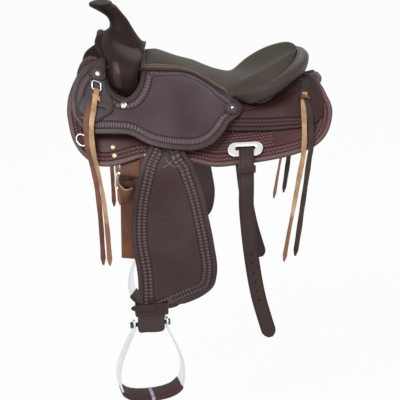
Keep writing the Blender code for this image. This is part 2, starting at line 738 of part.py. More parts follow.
def leg_line():
    x = -0.070 * lengthwise
    points = []
    for s in np.arange(0.020, 0.2451, 0.005) * dropwise:
        h = BAR_THICKNESS * (1.0 - 0.58 * ramp(s / dropwise, 0.130, 0.220)) + LAYER_GAP
        points.append(side(x, s, h)[1:])
    points = [(-y, z) for y, z in points]
    turn = float(ridge_slope(x)) + 0.245 * dropwise / BARREL_RADIUS
    steep, radius = math.radians(85.0), 0.110 * dropwise
    y, z = points[-1]
    for k in range(1, 13):
        now = turn + (steep - turn) * k / 12
        points.append((y + radius * (math.sin(now) - math.sin(turn)),
                       z - radius * (math.cos(turn) - math.cos(now))))
    y, z = points[-1]
    for k in range(1, 60):
        points.append((y + math.cos(steep) * 0.01 * k, z - math.sin(steep) * 0.01 * k))
    return np.array(points)


legLine = leg_line()
legAlong = np.concatenate([[0.0], np.cumsum(np.linalg.norm(np.diff(legLine, axis=0), axis=1))])
legSlope = np.gradient(legLine, legAlong, axis=0)
legSlope /= np.linalg.norm(legSlope, axis=1)[:, None]
legScale = LEG_LENGTH / 0.640


def twist(w):
    return math.radians(STIRRUP_TURN) * ramp(w / legScale, 0.500, 0.620)


def hang(x, w, h):
    x, w, h = np.broadcast_arrays(np.asarray(x, float), np.asarray(w, float), np.asarray(h, float))
    y = np.interp(w, legAlong, legLine[:, 0])
    z = np.interp(w, legAlong, legLine[:, 1])
    dy = np.interp(w, legAlong, legSlope[:, 0])
    dz = np.interp(w, legAlong, legSlope[:, 1])
    size = np.hypot(dy, dz)
    turn = twist(w)
    across = -(y - dz / size * h) + (x - NECK_CENTRE) * np.tan(turn)
    return np.stack([x + h * np.sin(turn), across, z + dy / size * h], axis=-1)


def leg_pattern(points):
    points = np.array(points, float) * MM
    middle = np.interp(points[:, 1], (0.25, 0.60), (LEG_CENTRE, NECK_CENTRE))
    base = np.interp(points[:, 1], (0.25, 0.60), (-0.072, -0.113))
    x = middle + (points[:, 0] - base) * FENDER_WIDTH / 0.193
    return np.stack([x, points[:, 1] * legScale], axis=1)


foldAt = 0.262 * legScale
cut = 0.0004
fenderLow = STRAP_THICKNESS + 1.6 * LAYER_GAP
fenderHigh = fenderLow + LEATHER_THICKNESS
topOutline = leg_pattern([
    (-109, 45), (-109, 80), (-109, 115), (-109, 150), (-109, 180), (-109, 205), (-116, 228),
    (-126, 249), (-130.5, 262), (-95, 262), (-60, 262), (-30, 262), (-14.5, 262), (-19, 255),
    (-34, 233), (-35, 205), (-35, 180), (-35, 150), (-35, 115), (-35, 80), (-35, 45), (-72, 45)])
topOutline[:, 1] = np.minimum(topOutline[:, 1], foldAt - cut)
fenderOutline = leg_pattern([
    (-130.5, 262), (-133, 270), (-141, 299), (-147, 325), (-151, 355), (-154, 390), (-154, 429),
    (-150, 465), (-144, 498), (-141, 530), (-141, 575), (-143, 610), (-142, 648), (-125, 652),
    (-86, 652), (-83, 625), (-80, 604), (-78, 580), (-66, 576), (-58, 587), (-39, 591), (-7, 580),
    (16, 565), (31, 547), (38, 519), (39, 489), (33, 450), (28, 420), (21, 387), (13, 350),
    (2, 309), (-9, 279), (-14.5, 262), (-30, 262), (-60, 262), (-95, 262)])
fenderOutline[:, 1] = np.maximum(fenderOutline[:, 1], foldAt + cut)


def leather_centre(w):
    return np.interp(w / legScale, (0.25, 0.60), (LEG_CENTRE, NECK_CENTRE))


def leather_half(w):
    return STRAP_WIDTH / 2 - 0.009 * ramp(w / legScale, 0.40, 0.60)


def top_height(x, w):
    return STRAP_THICKNESS + (fenderHigh - STRAP_THICKNESS) * ramp(w / legScale, 0.188, 0.206)


upperLeather = sheet(hang, topOutline, level(0.0), top_height)
swingPivot = side(-0.0972 * lengthwise, 0.130 * dropwise, BAR_THICKNESS)
pair("stirrup_leather", upperLeather, "fender_leather", swingPivot)

foldPivot = hang(LEG_CENTRE, foldAt, fenderHigh)
fenderBody = sheet(hang, fenderOutline, level(fenderLow), level(fenderHigh), spacing=0.025)
pair("fender", fenderBody, "fender_leather", foldPivot)

# Lower stirrup leather: an outer ply, a turn round the stirrup's bolt and an inner ply.
boltW = 0.636 * legScale
boltRise = BOLT_RADIUS + 0.0009
plyGap = 0.0012


def leg_frame(w):
    turn = float(twist(w))
    return np.array((math.cos(turn), math.sin(turn), 0.0))


def leg_loop():
    path, across, widths = [], [], []
    for w in np.linspace(foldAt + cut, boltW, 17):
        path.append(hang(leather_centre(w), w, STRAP_THICKNESS / 2))
        across.append(leg_frame(w))
        widths.append(2 * leather_half(w))
    centre = hang(leather_centre(boltW), boltW, STRAP_THICKNESS / 2 - boltRise - STRAP_THICKNESS / 2)
    turn = math.radians(STIRRUP_TURN)
    outward = np.array((math.sin(turn), -math.cos(turn), 0.0))
    reach = boltRise + STRAP_THICKNESS / 2
    for angle in np.radians((30, 60, 90, 120, 150, 180)):
        path.append(centre + reach * np.array((0.0, 0.0, -math.sin(angle)))
                    + reach * math.cos(angle) * outward)
        across.append(leg_frame(boltW))
        widths.append(2 * leather_half(boltW))
    for w in np.linspace(boltW - 0.021, 0.470 * legScale, 7):
        path.append(hang(leather_centre(w), w, -STRAP_THICKNESS / 2 - plyGap))
        across.append(leg_frame(w))
        widths.append(2 * leather_half(w) - 0.002)
    return np.array(path), np.array(across), np.array(widths), centre


loopPath, loopAcross, loopWidths, boltCentre = leg_loop()
lowerLeather = strap(loopPath, loopAcross, loopWidths, STRAP_THICKNESS)
pair("lower_leather", lowerLeather, "strap_leather", foldPivot)


# Hobble strap: a band round leather, fender tongue and neck above the stirrup.

def band(x, w_top, w_low, inner_half, low, high, thickness, corner):
    outer, inner = [], []
    for w in (w_top, w_low):
        across = leg_frame(w)
        centre = hang(x, w, (low + high) / 2)
        turn = float(twist(w))
        outward = np.array((math.sin(turn), -math.cos(turn), 0.0))
        for store, extra in ((outer, thickness), (inner, 0.0)):
            c, s = squared(np.arange(20) * 2 * math.pi / 20, corner)
            store.append(centre + (inner_half + extra) * c[:, None] * across
                         + ((high - low) / 2 + extra) * s[:, None] * outward)
    return shell(outer, inner)


hobbleTop, hobbleLow = 0.583 * legScale, 0.612 * legScale
hobbleHalf = STRAP_WIDTH / 2 - 0.0018
hobbleX = NECK_CENTRE + 0.002
hobble = band(hobbleX, hobbleTop, hobbleLow, hobbleHalf, -0.0058, fenderHigh + 0.0014, 0.003, 10.0)
pair("hobble_strap", hobble, "strap_leather", foldPivot)

# Stirrup: a bent flat bar, open at the top, where the bolt crosses between its ears.
turn = math.radians(STIRRUP_TURN)
stirrupAcross = np.array((math.cos(turn), math.sin(turn), 0.0))
stirrupOut = np.array((math.sin(turn), -math.cos(turn), 0.0))
upward = np.array((0.0, 0.0, 1.0))
wideBy, tallBy = STIRRUP_WIDTH / 0.154, STIRRUP_HEIGHT / 0.200
stirrupHalf = np.array([
    (38.5, 11), (38.5, 2), (38.5, -9), (43, -22), (53, -42), (67, -76), (75, -106), (75.5, -134),
    (70, -156), (58, -170), (38, -178), (18, -181), (0, -182)]) * MM * (wideBy, tallBy)
stirrupLine = np.concatenate([stirrupHalf * (-1, 1), stirrupHalf[-2::-1]])
stirrupLine = smooth_line(stirrupLine, 0.022)
stirrupPath = boltCentre + stirrupLine[:, :1] * stirrupAcross + stirrupLine[:, 1:] * upward
depth = TREAD_DEPTH * np.interp(stirrupLine[:, 1], np.array([-182, -150, -100, 0]) * MM * tallBy,
                                (1.0, 1.0, 0.78, 0.46))
stirrupBody = strap(stirrupPath, stirrupOut, depth, STIRRUP_METAL)
stirrups = pair("stirrup", stirrupBody, "aluminium", boltCentre)

treadLine = stirrupPath[stirrupLine[:, 1] < -0.150 * tallBy]
treadLine = treadLine[1:-1]


def tread_rings(width, thickness):
    along = directions(treadLine)
    up = np.cross(along, stirrupOut)
    half, lift = stirrupOut * width / 2, up * thickness / 2
    corners = (-half - lift, half - lift, half + lift, lift - half)
    return np.stack([treadLine + corner for corner in corners], axis=1)


treadOuter = tread_rings(TREAD_DEPTH + 0.012, STIRRUP_METAL + 0.013)
treadInner = tread_rings(TREAD_DEPTH + 0.0012, STIRRUP_METAL + 0.0012)
pair("tread_wrap", shell(treadOuter, treadInner), "strap_leather", boltCentre)

# Each bolt runs through a hole in both ears, with a head outside one and a nut outside the
# other.
earOuter = 0.0385 * wideBy + STIRRUP_METAL / 2
headStart, headEnd, headRadius = earOuter + 0.0006, earOuter + BOLT_RADIUS, 1.5 * BOLT_RADIUS
boltProfile = [(headRadius, -headEnd), (headRadius, -headStart), (BOLT_RADIUS, -headStart),
               (BOLT_RADIUS, headStart), (headRadius, headStart), (headRadius, headEnd)]
pair("stirrup_bolt", turned(boltProfile, boltCentre, stirrupAcross, pieces=12), "steel", boltCentre)
holeProfile = [(BOLT_RADIUS + 0.0004, -earOuter - 0.010), (BOLT_RADIUS + 0.0004, earOuter + 0.010)]
boltHole = turned(holeProfile, boltCentre, stirrupAcross, pieces=16)
cutters = pair("bolt_hole", boltHole, "steel", boltCentre)
for stirrup, cutter in zip(stirrups, cutters):
    cutter.hide_render = True
    cutter.display_type = "WIRE"
    hole = stirrup.modifiers.new("bolt_hole", "BOOLEAN")
    hole.object = cutter
    hole.operation = "DIFFERENCE"
    hole.solver = "EXACT"

# Rear rigging plates, slotted for the billets.
plateCentre = pattern([(102, 227.5)])[0]
plateTilt = math.radians(2.0)


def oblong(centre, length, height, pieces=6):
    straight = (length - height) / 2
    points = []
    for middle, start in ((straight, -90), (-straight, 90)):
        for k in range(pieces + 1):
            angle = math.radians(start + 180.0 * k / pieces)
            points.append((middle + height / 2 * math.cos(angle), height / 2 * math.sin(angle)))
    points = np.array(points)
    c, s = math.cos(plateTilt), math.sin(plateTilt)
    return centre + points @ np.array(((c, s), (-s, c)))


plateLow = BILLET_THICKNESS + 3 * LAYER_GAP
plateHigh = plateLow + PLATE_THICKNESS
slotCentre = plateCentre + (0.0, -0.002)
plateOutline = oblong(plateCentre, PLATE_LENGTH, PLATE_HEIGHT)
plateSlot = oblong(slotCentre, SLOT_LENGTH, SLOT_HEIGHT, 4)
plate = sheet(side, plateOutline, level(plateLow), level(plateHigh), [plateSlot], spacing=0.012)
pair("rigging_plate", plate, "nickel")

# Rear billets: folded through the slot, both plies held by a keeper, the long end hanging free.
billetX = plateCentre[0] + 0.002 * lengthwise
innerPly = 1.5 * LAYER_GAP + BILLET_THICKNESS / 2
outerPly = plateHigh + 1.2 * LAYER_GAP + BILLET_THICKNESS / 2
slotS = slotCentre[1]
billetAlong = frame_at(billetX, slotS, level(0.0))[1]
foldMiddle = (innerPly + outerPly) / 2
foldReach = (outerPly - innerPly) / 2


def on_plate(down, h):
    return side(billetX, slotS + down, h)


outerLine = [on_plate(d, outerPly) for d in (0.006, 0.016, 0.026)]
heading = float(ridge_slope(billetX)) + (slotS + 0.026) / BARREL_RADIUS
for k in range(1, 6):
    angle = heading + (math.radians(80.0) - heading) * k / 5
    outerLine.append(outerLine[-1] + 0.009 * np.array((0.0, -math.cos(angle), -math.sin(angle))))
outerLine = np.array(outerLine)
outerDown = directions(outerLine)
outwardOf = np.cross(outerDown, billetAlong)
plies = BILLET_THICKNESS + 0.0006
innerLine = [on_plate(d, innerPly) for d in (0.006, 0.016, 0.026, 0.034)]
innerLine += [outerLine[k] - outwardOf[k] * (plies + 0.0040 * (1 - (k - 4) / 3)) for k in (4, 5, 6, 7)]
turnPath = [on_plate(0.0035 - 0.0035 * math.cos(angle), foldMiddle + foldReach * math.sin(angle))
            for angle in np.radians((-60, -30, 0, 30, 60))]
foldPath = np.array(innerLine[::-1] + turnPath + list(outerLine))
pair("billet_fold", strap(foldPath, billetAlong, BILLET_WIDTH, BILLET_THICKNESS), "strap_leather")

billetScale = BILLET_LENGTH / 0.395
hangLine = np.array([
    (0, 0, 0), (0, -9, -22), (0, -12, -60), (4, -13, -110), (11, -13, -170), (20, -13, -230),
    (31, -13, -285), (45, -13, -335), (60, -13, -384)]) * MM * billetScale
billetStart = foldPath[-1] + (directions(foldPath)[-1] * 0.0006)
billetPivot = billetStart + outwardOf[-1] * BILLET_THICKNESS / 2
billetPath = smooth_line(billetStart + hangLine, 0.024)
billetWidth = np.full(len(billetPath), BILLET_WIDTH)
billetWidth[-1] = BILLET_WIDTH * 0.55
billetBody = strap(billetPath, billetAlong, billetWidth, BILLET_THICKNESS, tip=0.008)
pair("rear_billet", billetBody, "strap_leather", billetPivot)


def keeper_band():
    outer, inner = [], []
    for k in (-4, -2):
        front, back = outerLine[k], innerLine[k]
        out = unit(front - back)
        centre = (front + back) / 2
        reach = np.linalg.norm(front - back) / 2 + BILLET_THICKNESS / 2 + 0.0012
        c, s = squared((np.arange(16) + 0.5) * 2 * math.pi / 16, 8.0)
        c, s = c / np.abs(c).max(), s / np.abs(s).max()
        for store, extra in ((outer, 0.0025), (inner, 0.0)):
            store.append(centre + (BILLET_WIDTH / 2 + 0.0016 + extra) * c[:, None] * billetAlong
                         + (reach + extra) * s[:, None] * out)
    return shell(outer, inner)


pair("billet_keeper", keeper_band(), "strap_leather")

# Front rigging: a riveted leather behind the skirt carries a dee, and the dee a tie strap.
rigX = -0.158 * lengthwise
rigTop = -SKIRT_THICKNESS - 3.4 * LAYER_GAP - 0.0015
rigPath = [side(rigX, s * dropwise, rigTop) for s in (0.224, 0.240, 0.256, 0.272, 0.288)]
rigTurn = 0.0062
rigFrame = frame_at(rigX, 0.2985 * dropwise, level(rigTop - rigTurn))
deeCentre, rigAlong, rigDown, rigNormal = rigFrame
for angle in np.radians((50, 20, -10, -40, -70)):
    rigPath.append(deeCentre + rigTurn * (rigDown * math.cos(angle) + rigNormal * math.sin(angle)))
rigPath += [side(rigX, s * dropwise, rigTop - 0.0100) for s in (0.284, 0.266, 0.248)]
rigLeather = strap(np.array(rigPath), rigAlong, LATIGO_WIDTH, 0.003)
pair("rigging_leather", rigLeather, "latigo_leather")

deeHalf = LATIGO_WIDTH / 2 + 0.0085
deeDown = np.array((0.0, 0.02, -1.0))
deeDown = unit(deeDown - rigAlong * (deeDown @ rigAlong))
deeTall = 0.036
deeLoop = dee_loop(deeCentre, rigAlong, deeDown, deeHalf, deeTall, 0.0075)
rigDee = tube(deeLoop, DEE_WIRE / 2, around=8, closed=True)
pair("rigging_dee", rigDee, "nickel", deeCentre)

# Tie strap on the near side, billet on the off side: both hang in a fold from the dee.
ringLow = deeCentre + deeDown * deeTall
tieWidth = LATIGO_WIDTH * 0.86
tieTurn = 0.0049
tiePath = [ringLow + np.array((0.0, tieTurn + 0.0002, -LATIGO_LENGTH * share))
           for share in (0.67, 0.44, 0.22, 0.11)]
for angle in np.radians((-90, -60, -30, 0, 30, 60, 90)):
    tiePath.append(ringLow + tieTurn * np.array((0.0, -math.sin(angle), math.cos(angle))))
tiePath += [ringLow - np.array((0.0, tieTurn, LATIGO_LENGTH * share))
            for share in (0.12, 0.3, 0.5, 0.75, 1.0)]
pair("tie_strap", strap(np.array(tiePath), rigAlong, tieWidth, 0.003), "latigo_leather", ringLow)

# Breast dees near the front of the skirts, each held by a leather tab.
breastPlace, breastAlong, breastDown, breastNormal = trim_frame(-267, 249, level(0.0))
ringCentre = breastPlace + breastNormal * 0.0059
breastLine = circle(ringCentre, breastAlong, breastDown, BREAST_DEE_RADIUS, 20)
breastRing = tube(breastLine, RING_WIRE / 2, around=7, closed=True)
ringEdge = ringCentre + breastAlong * BREAST_DEE_RADIUS
pair("breast_dee", breastRing, "nickel", ringEdge)
tabReach = 0.0045
tabPath = [ringEdge + breastNormal * tabReach + breastAlong * x for x in (0.022, 0.014, 0.007)]
for angle in np.radians((80, 110, 140, 180, 220, 250, 280)):
    turned_by = breastAlong * math.cos(angle) + breastNormal * math.sin(angle)
    tabPath.append(ringEdge + tabReach * turned_by)
tabPath += [ringEdge - breastNormal * tabReach + breastAlong * x for x in (0.007, 0.014, 0.022)]
breastTab = strap(np.array(tabPath), breastDown, 0.010, 0.0018)
pair("breast_tab", breastTab, "skirt_leather")

# String dees under the rosettes on the string plates.
stringThickness = 0.0022
deePlace, deeAlong, deeFall, deeNormal = trim_frame(-235, 129, tab_top)
stringWire = RING_WIRE * 0.42
deeRise = 0.0020 + stringThickness + stringWire
stringDeeTop = deePlace + deeNormal * deeRise - deeFall * STRING_DEE_HALF
stringDeeLow = stringDeeTop + deeFall * 2 * STRING_DEE_HALF
stringLoop = dee_loop(stringDeeTop, deeAlong, deeFall, STRING_DEE_HALF, 2 * STRING_DEE_HALF, 0.0042)
pair("string_dee", tube(stringLoop, stringWire, around=6, closed=True), "nickel")


# Tie strings: one flat lace each, up one tail, over a turn, and down the other tail. A tail
# lies on the leather for a way and then hangs.

def lace_tail(laid, hung):
    points = []
    for x, s, cover, lift in laid:
        x, s = x * MM * lengthwise, s * MM * dropwise
        points.append(side(x, s, float(cover(x, s)) + lift * MM))
    fall = [np.array((x * MM * lengthwise, 0.0, -drop * MM * dropwise)) for x, drop in hung]
    return points + [points[-1] + step for step in fall]


def tie_string(inner_tail, outer_tail, turn_frame, radius, length):
    turn_centre, along, fall, normal = turn_frame
    tails = []
    for points, way in ((inner_tail, -1.0), (outer_tail, 1.0)):
        line = smooth_line([turn_centre + normal * radius * way + fall * 0.012] + points, 0.030)
        run = np.concatenate([[0.0], np.cumsum(np.linalg.norm(np.diff(line, axis=0), axis=1))])
        tails.append(line[run <= length])
    turn_points = [turn_centre + radius * (normal * -math.cos(angle) - fall * math.sin(angle))
                   for angle in np.radians((0, 45, 90, 135, 180))]
    path = np.concatenate([tails[0][::-1], turn_points, tails[1]])
    settled = ramp(np.linalg.norm(path - turn_centre, axis=1), 0.010, 0.060)[:, None]
    across = along * (1.0 - settled) + np.array((0.97, -0.24, 0.0)) * settled
    across = across / np.linalg.norm(across, axis=1)[:, None]
    width = np.full(len(path), STRING_WIDTH)
    width[0] = width[-1] = STRING_WIDTH * 0.25
    width[1] = width[-2] = STRING_WIDTH * 0.8
    return strap(path, across, width, stringThickness)


skirtFace = level(0.0)
frontInner = lace_tail(
    ((-248, 168, tab_top, 3.0), (-252, 190, tab_top, 3.6), (-256, 208, jockey_top, 7.5),
     (-258, 238, jockey_top, 2.5), (-254, 270, skirtFace, 17.5)),
    ((11, 46), (19, 98), (24, 159), (27, 229), (29, 299)))
frontOuter = lace_tail(
    ((-238, 168, tab_top, 6.5), (-240, 190, tab_top, 6.5), (-243, 208, jockey_top, 11.0),
     (-244, 236, jockey_top, 6.0), (-240, 270, skirtFace, 21.0)),
    ((9, 44), (19, 100), (25, 156), (29, 211), (32, 276)))
frontFrame = (stringDeeLow, deeAlong, deeFall, deeNormal)
frontRadius = stringWire + 0.0006 + stringThickness / 2
frontLace = tie_string(frontInner, frontOuter, frontFrame, frontRadius, FRONT_STRING_LENGTH)
pair("front_strings", frontLace, "string_leather")

rearTurn, rearAlong, rearFall, rearNormal = trim_frame(240, 98, housing_top)
rearRadius = 0.0016
rearTurn = rearTurn + rearNormal * (0.0012 + stringThickness / 2 + rearRadius)
rearInner = lace_tail(
    ((236, 125, housing_top, 3.4), (236, 155, housing_top, 4.0), (236, 188, housing_top, 3.5),
     (235, 225, skirtFace, 4.5), (232, 256, skirtFace, 6.5)),
    ((-1, 13), (-10, 69), (-20, 136), (-31, 206), (-42, 286)))
rearOuter = lace_tail(
    ((244, 125, housing_top, 6.5), (248, 155, housing_top, 6.5), (250, 188, housing_top, 7.0),
     (250, 225, skirtFace, 8.5), (248, 256, skirtFace, 10.5)),
    ((-3, 20), (-9, 75), (-16, 136), (-22, 191), (-30, 256)))
rearFrame = (rearTurn, rearAlong, rearFall, rearNormal)
rearLace = tie_string(rearInner, rearOuter, rearFrame, rearRadius, REAR_STRING_LENGTH)
pair("rear_strings", rearLace, "string_leather")
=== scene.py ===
import math

import bpy
import numpy as np
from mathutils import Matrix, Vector
from mathutils.bvhtree import BVHTree
from mathutils.geometry import delaunay_2d_cdt


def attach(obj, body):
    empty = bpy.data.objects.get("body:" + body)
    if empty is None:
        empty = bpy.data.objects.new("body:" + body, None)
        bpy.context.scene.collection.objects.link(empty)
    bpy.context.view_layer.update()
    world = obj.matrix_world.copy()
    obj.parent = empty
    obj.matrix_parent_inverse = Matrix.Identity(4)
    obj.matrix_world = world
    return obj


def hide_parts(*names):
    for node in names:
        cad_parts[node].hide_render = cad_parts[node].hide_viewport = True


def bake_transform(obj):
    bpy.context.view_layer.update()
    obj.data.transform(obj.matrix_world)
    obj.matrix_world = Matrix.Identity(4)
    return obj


# Western saddle in metres: near side toward -Y, the horse's head toward -X.
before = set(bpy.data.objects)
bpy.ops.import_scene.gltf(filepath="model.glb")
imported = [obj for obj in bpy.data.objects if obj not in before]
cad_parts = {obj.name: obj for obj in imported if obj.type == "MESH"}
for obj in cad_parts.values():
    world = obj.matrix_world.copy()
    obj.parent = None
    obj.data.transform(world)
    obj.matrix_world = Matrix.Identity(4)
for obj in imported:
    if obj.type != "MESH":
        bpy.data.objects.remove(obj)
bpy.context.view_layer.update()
mm = 0.001
sides = (("near", 1.0), ("off", -1.0))
print("frame loaded,", len(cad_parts), "nodes")


# Smooth step: 0 up to low, 1 from high, 3t^2 - 2t^3 between them.
def ramp(value, low, high):
    t = np.clip((np.asarray(value, float) - low) / (high - low), 0.0, 1.0)
    return t * t * (3.0 - 2.0 * t)


# Each row divided by its own length.
def unit(rows):
    rows = np.asarray(rows, float)
    return rows / np.linalg.norm(rows, axis=-1, keepdims=True)


# A table in millimetres read at x and softened: the bell-weighted mean of nine straight
# readings from a little before x to a little after it.
def softTable(x, pairs, reach=0.012):
    places, values = np.array(pairs, float).T * mm
    offsets = np.linspace(-1.0, 1.0, 9)
    weights = np.exp(-2.0 * offsets ** 2)
    readings = np.interp(np.asarray(x)[..., None] + offsets * reach, places, values)
    return (readings * weights).sum(axis=-1) / weights.sum()


# Length walked along a line up to each of its points.
def runOf(line):
    return np.concatenate([[0.0], np.cumsum(np.linalg.norm(np.diff(line, axis=0), axis=1))])


# A line read again at the given lengths along it.
def readAt(line, lengths):
    run = runOf(line)
    return np.stack([np.interp(lengths, run, line[:, k]) for k in range(line.shape[1])], axis=1)


# Catmull-Rom cubic between rows 1 and 2 of every four neighbours, at even steps.
def catmullRom(row, pieces):
    before, start, end, after = (row[k:len(row) - 3 + k, None] for k in range(4))
    t = (np.arange(pieces) / pieces).reshape(1, -1, *[1] * (row.ndim - 1))
    made = 0.5 * (2 * start + (end - before) * t + (2 * before - 5 * start + 4 * end - after) * t ** 2
                  + (3 * start - before - 3 * end + after) * t ** 3)
    return made.reshape(-1, *row.shape[1:])


# A smooth line through points, walked in even steps; a closed one doesn't repeat its start.
def through(points, step, closed=False):
    points = np.asarray(points, float)
    ends = (points[-1:], points[:2]) if closed else (points[:1], points[-1:])
    line = catmullRom(np.concatenate([ends[0], points, ends[1]]), 16)
    line = np.concatenate([line, points[:1] if closed else points[-1:]])
    total = runOf(line)[-1]
    count = max(3, int(round(total / step)))
    line = readAt(line, np.linspace(0.0, total, count + 1))
    return line[:-1] if closed else line


# Rings joined by smooth lines from ring to ring.
def throughRings(rings, pieces):
    rings = np.asarray(rings, float)
    return np.concatenate([catmullRom(np.concatenate([rings[:1], rings, rings[-1:]]), pieces), rings[-1:]])


# A circle pulled toward a square: cosine and sine raised to 2 / power, signs kept.
def squaredAt(angle, power):
    c, s = np.cos(angle), np.sin(angle)
    return np.sign(c) * np.abs(c) ** (2 / power), np.sign(s) * np.abs(s) ** (2 / power)


# The same at even steps round the circle.
def squared(count, power, first=0.0):
    return squaredAt((np.arange(count) + first) * 2 * math.pi / count, power)


# Height lost at a rounded edge: r less the root of r^2 - (r - reach)^2.
def roundDrop(reach, r):
    return r - np.sqrt(np.maximum(r ** 2 - np.maximum(r - reach, 0.0) ** 2, 0.0))


# Share of the full width near a rounded end: the root of 1 - (1 - t)^2, at least least.
def roundEnd(t, least):
    return np.sqrt(np.clip(1.0 - (1.0 - np.clip(t, 0.0, 1.0)) ** 2, least, 1.0))


# The horse's side. Along the horse a ridge rises by the square of the way from its lowest
# place; across, an arc falls from it. s is the way down the arc and h the way off it.
barrel = {"radius": 0.420, "ridgeHeight": 0.022, "ridgeSlope": 12.0, "lowest": 0.03,
          "frontRise": 1.0, "rearRise": 0.60, "frontSteep": 220.0}


# Height of the ridge: its lowest plus the square of the way from there.
def ridge(x):
    front, rear = np.clip(barrel["lowest"] - x, 0.0, None), np.clip(x - barrel["lowest"], 0.0, None)
    return barrel["ridgeHeight"] + barrel["frontRise"] * front ** 2 + barrel["rearRise"] * rear ** 2


# The arc's first slope, which grows with the square of the way forward.
def slopeAt(x):
    return np.radians(barrel["ridgeSlope"] + barrel["frontSteep"] * np.clip(-x, 0.0, None) ** 2)


# A point of the side: the arc turns by s / radius, and h is added along its outward line.
def side(x, s, h):
    x, s, h = np.broadcast_arrays(np.asarray(x, float), np.asarray(s, float), np.asarray(h, float))
    start = slopeAt(x)
    turn = start + s / barrel["radius"]
    y = barrel["radius"] * (np.sin(turn) - np.sin(start)) + np.sin(turn) * h
    z = ridge(x) - barrel["radius"] * (np.cos(start) - np.cos(turn)) + np.cos(turn) * h
    return np.stack([x, -y, z], axis=-1)


# Place, along, down and outward directions at x, s millimetres on a layer: the differences
# of the layer's points a millimetre to each side.
def spotOn(x, s, height):
    x, s, step = x * mm, s * mm, 0.001

    def put(dx, ds):
        return side(x + dx, s + ds, height(np.array(x + dx), np.array(s + ds)))

    along = unit(put(step, 0.0) - put(-step, 0.0))
    down = unit(put(0.0, step) - put(0.0, -step))
    return put(0.0, 0.0), along, down, unit(np.cross(down, along))


# Heights of the layers off the side: bars, skirt, fleece, housings, jockeys, string plates.
layers = {"bar": 0.022, "groove": 0.017, "jockey": 0.0285, "jockeyFront": 0.023, "leather": 0.004,
          "skirt": 0.005, "fleece": 0.012, "gap": 0.0008, "housing": 0.0036, "plate": 0.0034}


# The same height everywhere.
def level(height):
    return lambda x, s: np.full(np.shape(x), height)


# The bar: a bump across and along, with a groove worn in it for the stirrup leather.
def barRise(x, s):
    height = layers["bar"] * ramp(s, 0.010, 0.050) * (1.0 - ramp(s, 0.130, 0.190))
    height = height * ramp(x, -0.270, -0.200) * (1.0 - ramp(x, 0.190, 0.260))
    groove = ridge(x) - ridge(-0.070) + 0.235 * layers["groove"] * ramp(s, 0.100, 0.150)
    window = ramp(x, -0.138, -0.114) * (1.0 - ramp(x, 0.000, 0.040))
    return np.clip(height - np.clip(groove, 0.0, layers["groove"]) * window, 0.0, None)


# The jockey's underside: level, lower toward its edge and higher toward the fork.
def jockeyRise(x, s):
    front = (1.0 - ramp(x, -0.03, 0.05)) * (1.0 - ramp(s, 0.060, 0.160))
    return layers["jockey"] * (1.0 - 0.21 * ramp(s, 0.170, 0.250)) + layers["jockeyFront"] * front


# Each top is one leather higher than its underside.
def jockeyTop(x, s):
    return jockeyRise(x, s) + layers["leather"]


# The housing's underside lies on the bar, just off it.
def housingLow(x, s):
    return np.maximum(barRise(x, s) + layers["gap"], 0.0004) + layers["gap"]


def housingTop(x, s):
    return housingLow(x, s) + layers["housing"]


# The string plate's underside lies on the jockey.
def plateLow(x, s):
    return jockeyTop(x, s) + 1.6 * layers["gap"]


def plateTop(x, s):
    return plateLow(x, s) + layers["plate"]


upward = np.array((0.0, 0.0, 1.0))


# The leg: over the bar, down the side, past the skirt's edge, then nearly straight down.
leg = {"twist": 14.0, "x": -0.070, "centre": -0.072, "neck": -0.113, "steep": 85.0, "bend": 0.110,
       "strap": 0.0035, "width": 0.074, "bolt": 0.636}
fenderLow = leg["strap"] + 1.6 * layers["gap"]
fenderHigh = fenderLow + layers["leather"]


# An arc on the bar, a second arc to the steep slope, and a straight end.
def legLine():
    s = np.arange(0.020, 0.2451, 0.005)
    h = layers["bar"] * (1.0 - 0.58 * ramp(s, 0.130, 0.220)) + layers["gap"]
    laid = side(np.full(len(s), leg["x"]), s, h)[:, 1:] * (-1.0, 1.0)
    turn = slopeAt(leg["x"]) + 0.245 / barrel["radius"]
    steep = math.radians(leg["steep"])
    now = turn + (steep - turn) * np.arange(1, 13) / 12
    bent = laid[-1] + leg["bend"] * np.stack([np.sin(now) - np.sin(turn), np.cos(now) - np.cos(turn)], axis=1)
    straight = bent[-1] + np.arange(1, 60)[:, None] * 0.01 * np.array((math.cos(steep), -math.sin(steep)))
    return np.concatenate([laid, bent, straight])


legPath = legLine()
legRun = runOf(legPath)
legSlope = unit(np.gradient(legPath, legRun, axis=0))


# The twist grows by a smooth step below the fender.
def twistAt(w):
    return math.radians(leg["twist"]) * ramp(w, 0.500, 0.620)


# A point of the hanging leathers: x along the horse, w down the leg's line, h off it, turned
# by the twist about the neck.
def hang(x, w, h):
    x, w, h = np.broadcast_arrays(np.asarray(x, float), np.asarray(w, float), np.asarray(h, float))
    y, z = (np.interp(w, legRun, legPath[:, k]) for k in (0, 1))
    slope = unit(np.stack([np.interp(w, legRun, legSlope[:, k]) for k in (0, 1)], axis=-1))
    turn = twistAt(w)
    across = -(y - slope[..., 1] * h) + (x - leg["neck"]) * np.tan(turn)
    return np.stack([x + h * np.sin(turn), across, z + slope[..., 0] * h], axis=-1)


# Faces of a grid: each cell joins a point to the next column and the next row.
def gridFaces(rows, columns, closedRows=False, closedColumns=False):
    r = np.arange(rows if closedRows else rows - 1)[:, None]
    c = np.arange(columns if closedColumns else columns - 1)[None, :]
    below, beside = (r + 1) % rows * columns, (c + 1) % columns
    corners = (r * columns + c, r * columns + beside, below + beside, below + c)
    return np.stack(np.broadcast_arrays(*corners), axis=-1).reshape(-1, 4)


# Faces of a tube of rings with both ends closed; turned ones face the other way.
def tubeFaces(rows, around, turned=False):
    last = (rows - 1) * around
    faces = gridFaces(rows, around, False, True).tolist()
    faces += [list(range(around))[::-1], list(range(last, last + around))]
    return [face[::-1] for face in faces] if turned else faces


